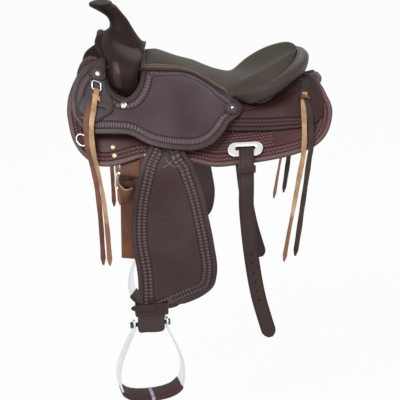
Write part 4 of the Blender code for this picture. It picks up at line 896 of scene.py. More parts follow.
# Two tails start at the ends of a half circle over the dee or through the knot. The knot has
# one squared band round both tails and one that slants over it.
def makeStrings():
    for place, (turn, radius, spot, length, tails) in routes.items():
        after = spot[2] * strings["after"]
        for label, (laid, hung, turns) in tails.items():
            way = -1.0 if label == "inner" else 1.0
            points = [turn + spot[3] * radius * way + after] + tailPoints(laid, hung)
            for sideName, sign in sides:
                stringTail(sideName, sign, f"{place}_{label}_tail", points, length, spot[1], turns,
                           f"{sideName}_{place}_strings")
        angles = np.radians(np.linspace(0, 180, 13))[:, None]
        bend = turn + radius * (-np.cos(angles) * spot[3] - np.sin(angles) * spot[2])
        bend = np.concatenate([[bend[0] + after], bend, [bend[-1] + after]])
        shape = carry(bend, spot[1], strings["width"], strings["thickness"], 4.0, 14)
        bothSides(f"{place}_string_turn", shape, "string")
        c, s = (part[:, None] for part in squared(40, 3.0))
        half, deep = strings["knot"][place]
        middle = turn + spot[2] * 0.019
        straight = middle + half * c * spot[1] + deep * s * spot[3]
        slanted = middle + (half + 0.0012) * c * spot[1] + (deep + 0.0016) * s * spot[3] + 0.0050 * c * spot[2]
        knot = joined(carry(straight, spot[2], 0.0095, 0.0020, 4.0, 12, closed=True),
                      carry(slanted, spot[2], 0.0065, 0.0018, 4.0, 12, closed=True))
        bothSides(f"{place}_string_knot", knot, "string" if place == "front" else "russet")


makeStrings()
print("tie strings hung")


# The outline of a leather from its pattern, x and s in millimetres.
def outlineOf(pattern, step=0.004):
    return through(np.array(pattern, float) * mm, step, closed=True)


skirtPattern = [
    (-252, 29), (-275, 71), (-287, 102), (-295, 129), (-302, 161), (-304, 194), (-301, 216),
    (-293, 247), (-281, 268), (-263, 284), (-235, 295), (-208, 292), (-183, 283), (-154, 269),
    (-126, 256), (-80, 251), (-19, 254), (34, 263), (86, 260), (129, 258), (193, 255),
    (238, 250), (261, 243), (280, 229), (293, 206), (300, 176), (300, 147), (292, 110),
    (282, 66), (270, 30), (252, 5), (225, 3), (150, 4), (90, 9), (20, 24), (-60, 32),
    (-150, 33), (-225, 29)]
fleecePattern = [
    (-248, 37), (-268, 76), (-281, 108), (-289, 140), (-296, 170), (-297, 196), (-293, 222),
    (-285, 245), (-272, 262), (-255, 273), (-232, 282), (-217, 277), (-210, 240), (-200, 216),
    (-160, 212), (-112, 214), (-104, 238), (-80, 243), (-19, 246), (34, 254), (86, 252),
    (129, 250), (193, 247), (234, 242), (255, 235), (272, 222), (285, 202), (292, 176),
    (292, 148), (285, 114), (275, 70), (262, 34), (248, 12), (225, 9), (150, 10), (90, 15),
    (20, 30), (-60, 38), (-150, 39), (-225, 36)]
housingPattern = [
    (50, 150), (52, 168), (59, 174), (130, 181), (195, 187), (237, 191), (261, 187), (273, 179),
    (280, 162), (281, 110), (275, 60), (265, 26), (252, 7), (236, 4), (231, 30), (216, 58),
    (190, 82), (150, 102), (100, 112), (62, 118)]
jockeyPattern = [
    (-215, 52), (-230, 61), (-247, 76), (-266, 98), (-283, 123), (-292, 160), (-291, 188),
    (-288, 206), (-279, 216), (-266, 227), (-239, 232), (-205, 225), (-168, 219), (-149, 221),
    (-129, 229), (-107, 236), (-71, 240), (-34, 240), (-3, 236), (26, 223), (44, 206),
    (57, 189), (66, 172), (82, 157), (93, 145), (98, 131), (92, 116), (80, 98), (62, 79),
    (29, 48), (-18, 33), (-42, 27), (-89, 38), (-134, 50), (-136, 68), (-141, 98), (-155, 123),
    (-171, 135), (-185, 135), (-203, 122), (-212, 99), (-213, 78)]
platePattern = [
    (-217, 54), (-214, 84), (-213, 118), (-206, 135), (-198, 148), (-195, 163), (-199, 177),
    (-215, 192), (-237, 209), (-258, 204), (-270, 198), (-276, 188), (-273, 174), (-260, 150),
    (-253, 132), (-249, 112), (-245, 92), (-236, 72), (-226, 60)]
plateSlot = np.array([(-233, 171.2), (-215, 171.2), (-215, 174.8), (-233, 174.8)]) * mm


# Each leather is a panel laid on the side between two heights. The fleece is thick and soft at
# its edge, and the string plate has a slot.
def makeSideLeathers():
    fleeceTop = -layers["skirt"] - 2 * layers["gap"]
    woolEdge = {"rounding": 0.005, "insets": (0.0015, 0.0035, 0.006), "spacing": 0.014}
    fine = {"insets": (0.0005, 0.0015, 0.005, 0.010), "spacing": 0.007}
    slotLoop = through(plateSlot, 0.002, closed=True)
    made = [
        ("skirt_leather", skirtPattern, level(-layers["skirt"]), level(0.0), (), "skirt", "skirt", {}),
        ("fleece_lining", fleecePattern, level(fleeceTop - layers["fleece"]), level(fleeceTop), (), "fleece",
         "fleece", woolEdge),
        ("housing_leather", housingPattern, housingLow, housingTop, (), "housing", "rear_housing", {}),
        ("jockey_leather", jockeyPattern, jockeyRise, jockeyTop, (), "jockey", "seat_jockey", {}),
        ("string_plate_leather", platePattern, plateLow, plateTop, (slotLoop,), "plate", "string_plate", fine)]
    for name, pattern, low, top, holes, finish, node, settings in made:
        shape, total = panel(side, outlineOf(pattern), low, top, holes, **settings)
        bothSides(name, shape, finish, "saddle", (node,), total)


makeSideLeathers()
print("skirts, housings, jockeys and string plates cut")


# The fender's cut, and the stretch of the leg over which it folds.
fender = {"fold": (0.232, 0.300), "step": 0.005, "insets": (0.0005, 0.0015, 0.006, 0.012, 0.018, 0.025)}
fenderPattern = [
    (-109, 200), (-109.5, 208), (-116, 228), (-126, 249), (-130.5, 262), (-133, 270), (-141, 299),
    (-147, 325), (-151, 355), (-154, 390), (-154, 429), (-150, 465), (-144, 498), (-141, 530),
    (-141, 575), (-143, 610), (-142, 648), (-125, 652), (-86, 652), (-83, 625), (-80, 604),
    (-78, 580), (-66, 576), (-58, 587), (-39, 591), (-7, 580), (16, 565), (31, 547), (38, 519),
    (39, 489), (33, 450), (28, 420), (21, 387), (13, 350), (2, 309), (-9, 279), (-14.5, 262),
    (-19, 255), (-34, 233), (-35, 208), (-35, 200)]


# The line its tooling follows: the outline without the notch over the neck.
fenderGuide = fenderPattern[:16] + [(-143, 622), (-120, 622), (-80, 607)] + fenderPattern[26:]


# The leather's middle goes in a straight line from the bar to the neck.
def leatherCentre(w):
    return np.interp(w, (0.25, 0.60), (leg["centre"], leg["neck"]))


# Half its width, which narrows by a smooth step toward the neck.
def leatherHalf(w):
    return leg["width"] / 2 - 0.009 * ramp(w, 0.40, 0.60)


# The direction across the leather: x turned by the twist.
def legFrame(w):
    turn = twistAt(w)
    return np.stack([np.cos(turn), np.sin(turn), 0.0 * turn], axis=-1)


# The stirrup's bolt hangs below the leather's line by its own radius and half the leather.
boltTurn = 0.0059 + leg["strap"] / 2
boltCentre = hang(leatherCentre(leg["bolt"]), leg["bolt"], leg["strap"] / 2 - boltTurn)
stirrupTurn = math.radians(leg["twist"])
stirrupAcross = np.array((math.cos(stirrupTurn), math.sin(stirrupTurn), 0.0))
stirrupOut = np.array((math.sin(stirrupTurn), -math.cos(stirrupTurn), 0.0))


# The fender is cut flat and laid on the hanging leathers.
def makeFenders():
    shape, total = panel(hang, outlineOf(fenderPattern, fender["step"]), level(fenderLow), level(fenderHigh),
                         insets=fender["insets"], guide=outlineOf(fenderGuide))
    bothSides("fender_leather", shape, "fender", "fold", ("fender",), total)


# One leather from the bar down to the bolt, round it and up behind itself.
def makeStirrupLeathers():
    down = np.linspace(0.046, leg["bolt"], 120)
    up = np.linspace(leg["bolt"] - 0.021, 0.470, 34)
    angles = np.radians(np.arange(15, 181, 15))[:, None]
    outer = hang(leatherCentre(down), down, leg["strap"] / 2)
    turn = boltCentre + boltTurn * (stirrupOut * np.cos(angles) - upward * np.sin(angles))
    inner = hang(leatherCentre(up), up, -leg["strap"] / 2 - 0.0012)
    path = np.concatenate([outer, turn, inner])
    across = np.concatenate([legFrame(down), np.tile(legFrame(leg["bolt"]), (len(turn), 1)), legFrame(up)])
    width = np.concatenate([2 * leatherHalf(down), np.full(len(turn), 2 * leatherHalf(leg["bolt"])),
                            2 * leatherHalf(up) - 0.002])
    bothSides("stirrup_strap", carry(path, across, width, leg["strap"], 8.0, 20), "neck", "fold",
              ("stirrup_leather", "lower_leather"))


# The hobble strap: a flat band round everything at the neck, its tip past a small buckle.
hobble = {"x": -0.111, "middle": 0.5975, "width": 0.029, "half": 0.0352, "low": -0.0058, "high": 0.0102,
          "thickness": 0.003, "tipWidth": 0.0155, "tipStart": 0.006, "tipLength": 0.056, "tipRise": 0.0040,
          "tipHigh": 0.0062, "tipBow": 0.0008}


# A squared loop round the leathers; its tip leaves the front in a straight line and is rounded
# by a square root.
def makeHobbleStraps():
    w, middle = hobble["middle"], (hobble["low"] + hobble["high"]) / 2
    across, turn = legFrame(w), float(twistAt(w))
    outward = np.array((math.sin(turn), -math.cos(turn), 0.0))
    centre = hang(hobble["x"], w, middle)
    c, s = (part[:, None] for part in squared(72, 8.0))
    reach = (hobble["high"] - hobble["low"]) / 2 + hobble["thickness"] / 2
    path = centre + (hobble["half"] + hobble["thickness"] / 2) * c * across + reach * s * outward
    band = carry(path, upward, hobble["width"], hobble["thickness"], 6.0, 16, closed=True)
    front = centre + outward * (reach + hobble["thickness"] + 0.0006)
    share = np.linspace(0.0, 1.0, 26)
    tip = (front + across * (hobble["tipStart"] - hobble["tipLength"] * share)[:, None]
           + outward * (hobble["tipBow"] * np.sin(share * 3.0))[:, None]
           + upward * (hobble["tipHigh"] + hobble["tipRise"] * share)[:, None])
    width = hobble["tipWidth"] * roundEnd((1.005 - share) / 0.305, 0.02)
    band = joined(band, carry(tip, upward, width, 0.0026, 6.0, 16))
    bothSides("hobble_band", band, "hobble", "fender_body", ("hobble_strap",),
              wrap=runOf(np.concatenate([path, path[:1]]))[-1])


# Threads that show: a cross of two bowed stitches high on the fender, and a pointed arch
# between two straight rows on the neck.
def makeThreads():
    cross = [((-11, -11), (-7, -4), (0, 3), (8, 7), (16, 9)), ((9, -11), (6, -4), (-1, 3), (-9, 7), (-16, 11))]
    lines = []
    for row in cross:
        x, w = (np.array(row, float).T + [[-67], [259]]) * mm
        lines.append(through(hang(x, w, fenderHigh + 0.0002), 0.002))
    bothSides("fender_cross_stitch", joined(*[wire(line, 0.00045, 6) for line in lines]), "thread", "fold")
    t = np.linspace(-1.0, 1.0, 21)
    bolt = leg["bolt"]
    arch = (0.43 * t, bolt + 0.002 - 0.023 * (1.0 - np.abs(t) ** 1.7))
    rows = [arch] + [(np.full(9, at), np.linspace(bolt - 0.022, bolt + 0.003, 9)) for at in (-0.80, 0.80)]
    lines = [hang(leatherCentre(w) + share * leatherHalf(w), w, leg["strap"] / 2 + 0.0003) for share, w in rows]
    sewn = joined(*[wire(line, 0.0005, 6) for line in lines])
    bothSides("neck_arch_stitch", sewn, "thread", "fender_body")


makeFenders()
makeStirrupLeathers()
makeHobbleStraps()
makeThreads()
print("fenders, stirrup leathers and hobble straps hung")


# The stirrup: metal, tread and wrap, the wrap's swell and squareness, and half of its line.
stirrup = {"metal": 0.005, "tread": 0.048, "wrap": 0.0040, "swell": 0.16, "power": 3.2, "stitches": 34}
stirrupPoints = [(38.5, 11), (38.5, 2), (38.5, -9), (43, -22), (53, -42), (67, -76), (75, -106), (75.5, -134),
                 (70, -156), (58, -170), (38, -178), (18, -181), (0, -182)]


# The bar follows its half and their mirror image, its depth read from a table of heights. The
# wrap swells by a sine, and whip stitches follow its squared section over the lower front edge.
def makeStirrups():
    half = np.array(stirrupPoints, float) * mm
    line = through(np.concatenate([half * (-1, 1), half[-2::-1]]), 0.004)
    path = boltCentre + line[:, :1] * stirrupAcross + line[:, 1:] * upward
    depth = stirrup["tread"] * np.interp(line[:, 1], (-0.182, -0.150, -0.100, 0.0), (1.0, 1.0, 0.78, 0.46))
    ends = np.minimum(np.arange(len(path)), np.arange(len(path))[::-1]) * 0.004
    depth = depth * roundEnd((ends + 0.002) / 0.014, 0.05)
    bothSides("stirrup_bar", carry(path, stirrupOut, depth, stirrup["metal"], 7.0, 24), "aluminium",
              "stirrup_body", ("stirrup",))
    part = line[:, 1] < -0.150
    tread = path[part][1:-1]
    run = runOf(tread)
    share = run / run[-1]
    swell = 1.0 + stirrup["swell"] * np.sin(share * math.pi)
    close = roundEnd(np.minimum(share, 1 - share) / 0.05, 0.35)
    full = stirrup["metal"] + 2 * stirrup["wrap"]
    wrap = carry(tread, stirrupOut, (stirrup["tread"] + 0.008) * (0.94 + 0.06 * close),
                 full * swell * close, stirrup["power"], 36)
    bothSides("tread_leather", wrap, "tread", "stirrup_body", ("tread_wrap",))
    count = stirrup["stitches"]
    places = readAt(tread, np.linspace(0.006, run[-1] - 0.006, count))
    tangent = unit(np.gradient(places, axis=0))
    under = unit(np.cross(tangent, stirrupOut))
    under = under * np.sign(-under[:, 2:])
    angle = np.radians(np.linspace(-8, 78, 9))
    a, b = squaredAt(angle, stirrup["power"])
    middle = readAt(tread, np.linspace(0.5 * run[-1] - 0.0040, 0.5 * run[-1] + 0.0040, 5))
    band = carry(middle, stirrupOut, stirrup["tread"] + 0.0098, full * (1.0 + stirrup["swell"]) + 0.0016,
                 stirrup["power"], 36)
    bothSides("tread_band", band, "lilac", "stirrup_body")
    stitches = []
    reachOut = (stirrup["tread"] + 0.008) / 2
    swells = 1.0 + stirrup["swell"] * np.sin(np.linspace(0.04, 0.96, count) * math.pi)
    for place, way, low, swelled in zip(places, tangent, under, swells):
        reachDown = full / 2 * swelled
        row = (place + stirrupOut * reachOut * a[:, None] + low * reachDown * b[:, None]
               + way * 0.0022 * (angle / angle[-1])[:, None])
        stitches.append(wire(row, 0.0009, 6))
    bothSides("tread_lacing", joined(*stitches), "lacing", "stirrup_body")


makeStirrups()
print("stirrups bent")


# The fork: its foot on the bar, the roundness of its loops, and its stations: outer corner, inner
# corner, front, rear and the fall of its top toward the rear.
fork = {"x": -0.173, "long": 0.031, "s": 0.089, "wide": 0.034, "lift": 0.0032, "power": 2.5, "around": 64,
        "between": 7}
forkStations = [((142, 54), (73, 75), -206, -143, 0.0), ((147, 84), (71, 90), -208, -141, 0.06),
                ((126, 116), (58, 104), -214, -136, 0.28), ((89, 140), (38, 115), -229, -131, 0.50),
                ((45, 151), (18, 121), -236, -128, 0.58), ((0, 156), (0, 122), -238, -127, 0.58)]


# One loop of the arch: a squared circle between its outer and inner corner, front to rear.
def forkLoop(station, c, s):
    outer, inner, front, rear, tilt = station
    outer, inner = np.array(outer) * mm, np.array(inner) * mm
    front, rear = front * mm, rear * mm
    x = (front + rear) / 2 + (rear - front) / 2 * c
    yz = (outer + inner) / 2 + unit(outer - inner) * (np.linalg.norm(outer - inner) / 2 * s)[:, None]
    drop = tilt * np.maximum(x - (0.7 * front + 0.3 * rear), 0.0) * ((1.0 + s) / 2) ** 1.5
    return np.stack([x, -yz[:, 0], yz[:, 1] - drop], axis=1)


# Rings from one foot over the arch to the other: squared circles joined by smooth lines.
def makeFork():
    around = fork["around"]
    c, s = squared(around, fork["power"])
    footX, footS = fork["x"] + fork["long"] * c, fork["s"] + fork["wide"] * s
    foot = side(footX, footS, barRise(footX, footS) + fork["lift"])
    half = [foot] + [forkLoop(station, c, s) for station in forkStations]
    half.insert(1, 0.5 * half[0] + 0.5 * half[1])
    rings = throughRings(half + [ring * (1.0, -1.0, 1.0) for ring in half[-2::-1]], fork["between"])
    uv = pairs(runOf(rings.mean(axis=1))[:, None], np.arange(around)[None, :] * 0.004)
    points = rings.reshape(-1, 3)
    centrePiece("fork_leather", (points, tubeFaces(len(rings), around), uv), "fork", "fork_cover", "tree_fork")
    return BVHTree.FromPolygons(points.tolist(), gridFaces(len(rings), around, False, True).tolist())


# Each loop of the horn has its front and rear, x and z, and its half width, in millimetres.
hornLoops = [((-212, 163), (-158, 161), 30), ((-211, 174), (-169, 180), 24), ((-216, 186), (-180, 194), 22),
             ((-226, 195), (-188, 204), 24), ((-243, 205), (-195, 212), 29), ((-256, 212.5), (-203, 217), 33.5),
             ((-258.5, 217), (-205, 220.5), 35), ((-256, 220.6), (-209, 222.3), 33),
             ((-247, 222.4), (-218, 222.4), 25), ((-240, 222.5), (-226, 222.5), 12)]
hornFoot = {"x": -0.183, "long": 0.050, "wide": 0.060, "sags": ((0.22, 0.0012), (0.5, 0.0024), (0.78, 0.0016))}


# The horn: slanted ovals from the fork up to the cap, each from its front, rear and half width.
def makeHorn(forkSkin):
    angle = np.arange(48) * 2 * math.pi / 48
    c, s = np.cos(angle)[:, None], np.sin(angle)[:, None]
    upper = []
    for front, rear, half in hornLoops:
        front, rear = (np.array((x, 0, z)) for x, z in (front, rear))
        upper.append(((front + rear) / 2 + (rear - front) / 2 * c + s * np.array((0.0, half, 0.0))) * mm)
    foot = np.concatenate([hornFoot["x"] + c * hornFoot["long"], s * hornFoot["wide"]], axis=1)
    base = [forkSkin.ray_cast(Vector((x, y, 0.4)), Vector((0.0, 0.0, -1.0)))[0] for x, y in foot]
    base = np.array([tuple(spot) for spot in base])
    rings = [base - (0.0, 0.0, 0.0012)]
    for share, sag in hornFoot["sags"]:
        rings.append(base + (upper[0] - base) * share - (0.0, 0.0, sag))
    rings = throughRings(rings + upper, 5)
    uv = pairs((angle * 0.030)[None, :], (runOf(rings[:, 0]) - 0.012)[:, None])
    centrePiece("horn_leather", (rings.reshape(-1, 3), tubeFaces(len(rings), 48), uv), "horn", "horn",
                wrap=0.060 * math.pi)


# Two rolled ribs side by side, laid on the face of the fork round the gullet: half their line,
# y and z in millimetres, and each rib's distance off the face and radius.
gullet = {"half": [(-80, 104), (-79, 113), (-75, 121), (-70, 128), (-58, 137), (-40, 144.5), (-20, 149),
                   (0, 150)],
          "ribs": ((0.0026, 0.0038), (0.0082, 0.0040))}


def makeBinding(forkFace):
    half = np.array(gullet["half"], float) * mm
    guide = through(np.concatenate([half, (half * (-1.0, 1.0))[-2::-1]]), 0.006)
    faceX = np.array([forkFace.ray_cast(Vector((-0.4, y, z)), Vector((1.0, 0.0, 0.0)))[0][0] for y, z in guide])
    line = np.stack([faceX, guide[:, 0], guide[:, 1]], axis=1)
    ribs = [wire(line - (off, 0.0, 0.0), radius) for off, radius in gullet["ribs"]]
    centrePiece("gullet_roll", joined(*ribs), "fork", "gullet_binding")


braid = {"half": 0.0078, "top": 0.109, "fall": 0.055, "rise": 0.0016, "turns": 4.0}


# The braid laid on the near and off face of the fork: three crossing strands, read as the
# highest of three travelling waves.
def makeBraid(forkSkin):
    rows, cols = 97, 29
    t = np.linspace(0.0, 1.0, rows)[:, None]
    w = np.linspace(-1.0, 1.0, cols)[None, :]
    spots = pairs(-0.1905 + 0.006 * t + braid["half"] * w, braid["top"] - braid["fall"] * t)
    hits = [forkSkin.ray_cast(Vector((x, -0.4, z)), Vector((0.0, 1.0, 0.0)))[:2] for x, z in spots]
    place, normal = (np.array([tuple(hit[k]) for hit in hits]).reshape(rows, cols, 3) for k in (0, 1))
    turn = 2 * math.pi * braid["turns"] * t
    strands = []
    for phase in (0.0, 2 * math.pi / 3, 4 * math.pi / 3):
        middle = 0.52 * np.sin(turn + phase)
        front = 0.5 + 0.5 * np.cos(2 * (turn + phase))
        body = np.sqrt(np.maximum(1.0 - ((w - middle) / 0.40) ** 2, 0.0))
        strands.append(body * (0.45 + 0.55 * front))
    rise = np.maximum.reduce(strands)
    ends = ramp(t, 0.0, 0.05) * (1.0 - ramp(t, 0.95, 1.0)) * (1.0 - np.abs(w) ** 6)
    top = place + normal * (0.0003 + braid["rise"] * (rise * ends))[:, :, None]
    low = place - normal * 0.0010
    bothSides("fork_braid", shellOf(top, low), "braid")


forkSkin = makeFork()
makeBinding(forkSkin)
makeHorn(forkSkin)
makeBraid(forkSkin)
print("fork, horn and binding covered")


# The seat: depth in the middle and at the edge, its rounding, the sink of its top, and its lines
# in millimetres: front edge on the jockey, rim, middle line and crest inside the rim.
seat = {"pad": 0.014, "edge": 0.0044, "round": 0.0042, "puff": -0.0024, "fill": 0.6, "step": 0.005,
        "lift": 0.0056}
seatFront = [(-143, 63), (-133, 60), (-110, 52), (-80, 45), (-50, 39), (-20, 43), (10, 50), (35, 63), (58, 82)]
seatRim = [(74, -107, 25), (90, -124, 32), (108, -136, 42), (130, -145, 53), (150, -145, 63), (170, -135, 74),
           (187, -118, 84), (202, -96, 93), (214, -70, 100), (222, -40, 104.5), (226.2, -1.5, 106)]
seatMiddle = [(-136, 107), (-105, 112), (-66, 98), (6, 71), (64, 53), (100, 52), (140, 62), (180, 83),
              (205, 98), (225, 108)]
seatCrest = [(64, 48), (77, 46), (94, 56), (117, 72), (141, 86), (164, 98), (186, 108), (203, 115), (214, 118),
             (225, 117)]


# The seat's edge: along the jockey in front, along the cantle's rim behind.
def seatEdge():
    front = np.array(seatFront, float) * mm
    front = side(front[:, 0], front[:, 1], jockeyTop(front[:, 0], front[:, 1]) + seat["lift"])
    return np.concatenate([front, np.array(seatRim, float) * mm])


# The seat: each row runs across at one x. In front its height falls from the middle to the
# edge; behind it is a dish with a crest inside the rim.
def makeSeat():
    edge = through(seatEdge(), seat["step"])
    steps = np.arange(len(edge)) * seat["step"]
    x, half, z = edge[:, 0, None], -edge[:, 1, None], edge[:, 2, None]
    share = np.sin(np.linspace(-1.0, 1.0, 65) * math.pi / 2)[None, :]
    v = np.abs(share)
    away = (1.0 - v) * half
    middle, crest = softTable(x, seatMiddle), softTable(x, seatCrest)
    plain = z + (middle - z) * (1.0 - v ** 2.4)
    dish = middle + (crest - middle) * ramp(v, 0.12, 0.78) - (crest - z) * ramp(v, 0.62, 1.0) ** 1.5
    blend = ramp(x, 0.045, 0.105)
    top = plain * (1.0 - blend) + dish * blend
    puff = seat["puff"] * ramp(away, 0.010, 0.030) * (1.0 - ramp(x, 0.060, 0.120))
    ends = np.minimum(steps, 0.03)[:, None]
    drop = roundDrop(np.minimum(away, ends), seat["round"])
    depth = seat["edge"] + (seat["pad"] - seat["edge"]) * (1.0 - ramp(v, 0.35, 0.95))
    flatX, flatY = np.broadcast_to(x, top.shape), share * -half
    upper = np.stack([flatX, flatY, top + puff - drop], axis=-1)
    lower = np.stack([flatX, flatY, top - np.maximum(depth, drop + 0.0004)], axis=-1)
    rings = np.concatenate([upper, lower[:, ::-1]], axis=1)
    u = np.broadcast_to(runOf(edge)[:, None], upper.shape[:2])
    inward = np.minimum(away, np.clip(steps - 0.007, 0.0, 0.1)[:, None])
    inward = inward + 0.03 * ramp(x, 0.060, 0.070)
    uv = np.concatenate([np.stack([u, inward], -1), np.stack([u, away * 0.0 - 0.01], -1)], axis=1)
    shape = rings.reshape(-1, 3), tubeFaces(len(edge), rings.shape[1]), uv.reshape(-1, 2)
    piece = centrePiece("seat_leather_pad", shape, "seat", "seat")


# The roll's lower edge, and how far it bulges from the seam, in millimetres.
rollLow = [(77, -110, 23.5), (94, -127, 19), (113, -145, 18), (137, -154, 27), (158, -157, 37), (180, -151, 47),
           (199, -137, 57), (216, -115, 64), (232, -86, 68), (245, -46, 69), (250, 0, 69)]
rollReach = [3, 7, 12, 18, 22, 27, 31, 35, 38, 40, 41]


# The roll: at each place round the rim, a quadratic curve from the seam out and down to its
# lower edge, with a second one inside it.
def makeRoll():
    top = np.array(seatRim, float) * mm
    low = np.array(rollLow, float) * mm
    along = unit(np.gradient(top, axis=0))
    out = unit(np.cross((0.0, 0.0, 1.0), along))
    out = out * np.sign(out[:, :1] * 0.3 - out[:, 1:2])
    stations = np.concatenate([top, low, out, np.array(rollReach)[:, None] * mm], axis=1)
    stations = throughRings(stations[:, None, :], 9)[:, 0]
    top, low, out, reach = stations[:, :3], stations[:, 3:6], unit(stations[:, 6:9]), stations[:, 9:]
    out[-1] = (1.0, 0.0, 0.0)
    thick = 0.006 * np.minimum(1.0, 0.35 + reach / 0.020)
    start = top + out * 0.0022
    control = start + out * reach + upward * 0.15 * reach

    def bow(a, b, c, count):
        t = np.linspace(0.0, 1.0, count)[None, :, None]
        return (1 - t) ** 2 * a[:, None] + 2 * t * (1 - t) * b[:, None] + t ** 2 * c[:, None]

    outer = bow(start + upward * 0.001, control, low, 22)
    inner = bow(start - upward * thick, control - out * thick * 1.1 - upward * thick, low - out * thick, 14)
    tip = ((outer[:, -1] + inner[:, -1]) / 2 - upward * thick * 0.45)[:, None]
    rings = np.concatenate([outer, tip, inner[:, ::-1]], axis=1)
    rings = np.concatenate([rings, (rings * (1.0, -1.0, 1.0))[-2::-1]])
    down = np.concatenate([np.linspace(0.0, 0.07, 22), np.full(15, 0.2)])
    uv = pairs(runOf(rings[:, 10])[:, None], down[None, :])
    shape = rings.reshape(-1, 3), tubeFaces(len(rings), rings.shape[1], turned=True), uv
    centrePiece("cantle_leather_roll", shape, "roll", "cantle_roll")


makeSeat()
makeRoll()
print("seat and cantle roll padded")


# Rigging: the plate's place and size, the billet, the two straps of the front dee, the wires.
rigging = {"plateX": 102, "plateS": 227.5, "length": 0.080, "height": 0.036, "thickness": 0.0035, "slot": 0.046,
           "slotHeight": 0.010, "tilt": 2.0, "billet": 0.034, "billetThick": 0.003, "latigo": 0.045,
           "latigoLength": 0.165, "latigoThick": 0.003, "strapX": -158, "strapS": 298.5, "strapTurn": 0.0062,
           "tieTurn": 0.0049, "tieShare": 0.86, "deeWire": 0.006, "deeTall": 0.036, "deeCorner": 0.0075,
           "deeRoom": 0.0085, "ring": 0.0128, "ringWire": 0.0032, "tabReach": 0.0045, "keeper": 0.017}


# A long oval of the given size, turned by the plate's tilt.
def oblong(centre, length, height, step):
    angle = np.radians(np.linspace(-90, 90, 13))
    half = np.stack([(length - height) / 2 + height / 2 * np.cos(angle), height / 2 * np.sin(angle)], axis=1)
    loop = np.concatenate([half, -half])
    c, s = math.cos(math.radians(rigging["tilt"])), math.sin(math.radians(rigging["tilt"]))
    return centre + through(loop, step, closed=True) @ np.array(((c, s), (-s, c)))


# An oval plate with a slot; the billet turns through it in a half circle, falls in an arc and
# hangs, and the keeper is a squared loop round both plies.
def makeRigging():
    centre = np.array((rigging["plateX"], rigging["plateS"])) * mm
    plateLow = rigging["billetThick"] + 3 * layers["gap"]
    plateHigh = plateLow + rigging["thickness"]
    slotCentre = centre - (0.0, 0.002)
    slotLoop = oblong(slotCentre, rigging["slot"], rigging["slotHeight"], 0.0015)
    shape, total = panel(side, oblong(centre, rigging["length"], rigging["height"], 0.002), level(plateLow),
                         level(plateHigh), (slotLoop,), rounding=0.0012, insets=(0.0004, 0.0012, 0.003),
                         spacing=0.004)
    bothSides("rigging_plate_metal", shape, "nickel", "saddle", ("rigging_plate",), wrap=total)
    x, down = float(centre[0]) + 0.002, slotCentre[1]

    def onPlate(offset, height):
        return side(x, down + offset, height)

    inner = 1.5 * layers["gap"] + rigging["billetThick"] / 2
    outer = plateHigh + 1.2 * layers["gap"] + rigging["billetThick"] / 2
    along = spotOn(x / mm, down / mm, level(0.0))[1]
    front = [onPlate(d, outer) for d in (0.006, 0.016, 0.026)]
    heading = math.radians(barrel["ridgeSlope"]) + (down + 0.026) / barrel["radius"]
    angles = heading + (math.radians(80.0) - heading) * np.arange(1, 6)[:, None] / 5
    fall = np.cumsum(0.009 * np.concatenate([0 * angles, -np.cos(angles), -np.sin(angles)], axis=1), axis=0)
    front = np.concatenate([np.array(front), front[-1] + fall])
    ahead = unit(np.gradient(front, axis=0))
    outwardOf = np.cross(ahead, along)
    plies = rigging["billetThick"] + 0.0006
    back = [onPlate(d, inner) for d in (0.006, 0.016, 0.026, 0.034)]
    back += [front[k] - outwardOf[k] * (plies + 0.0040 * (1 - (k - 4) / 3)) for k in (4, 5, 6, 7)]
    turn = [onPlate(0.0035 - 0.0035 * math.cos(a), (inner + outer) / 2 + (outer - inner) / 2 * math.sin(a))
            for a in np.radians((-60, -30, 0, 30, 60))]
    fold = through(np.array(back[::-1] + turn + list(front)), 0.004)
    bothSides("billet_turn", carry(fold, along, rigging["billet"], rigging["billetThick"], 6.0, 16), "billet",
              "saddle", ("billet_fold",))
    drop = np.array([(0, 0, 0), (0, -9, -22), (0, -12, -60), (4, -13, -110), (11, -13, -170), (20, -13, -230),
                     (31, -13, -285), (45, -13, -335), (60, -13, -384)], float) * mm
    path = through(front[-1] + ahead[-1] * 0.0006 + drop, 0.005)
    run = runOf(path)
    width = rigging["billet"] * roundEnd((run[-1] - run) / 0.020, 0.10)
    holes = np.interp(np.array((306, 329, 353, 376, 398, 420)) * mm, -path[:, 2], run)
    punched = [(float(u), rigging["billet"] / 2, 0.0027) for u in holes]
    finishes["holed"] = leather("holed billet leather", (0.030, 0.016, 0.015), (0.055, 0.033, 0.030), 0.50,
                                centred=0.017, lines=(0.0035,), tooling=0.5, holes=punched)
    bothSides("billet_strap", carry(path, along, width, rigging["billetThick"], 6.0, 20), "holed",
              "billet_body", ("rear_billet",))
    place, ply = (front[-3] + back[-3]) / 2, front[-3] - back[-3]
    reach = np.linalg.norm(ply) / 2 + rigging["billetThick"] / 2 + 0.0024
    c, s = (part[:, None] for part in squared(48, 8.0))
    loop = place + (rigging["billet"] / 2 + 0.0028) * c * along + reach * s * unit(ply)
    keeper = carry(loop, ahead[-3], rigging["keeper"], 0.0025, 5.0, 12, closed=True)
    bothSides("keeper_loop", keeper, "hobble", "saddle", ("billet_keeper",))


# A dee's loop below a point: straight top and bottom, rounded corners.
def deeLoop(top, across, down, half, tall, corner, step):
    angle = np.radians(np.arange(0, 91, 30))
    quarter = np.stack([np.cos(angle), np.sin(angle)], axis=1) * corner
    parts = []
    for signX, signY in ((1, 1), (-1, 1), (-1, -1), (1, -1)):
        bend = quarter * (signX, signY)
        bend = bend if signX * signY > 0 else bend[::-1]
        parts.append(bend + (signX * (half - corner), tall / 2 + signY * (tall / 2 - corner)))
    loop = through(np.concatenate(parts), step, closed=True)
    return top + loop[:, :1] * across + loop[:, 1:] * down


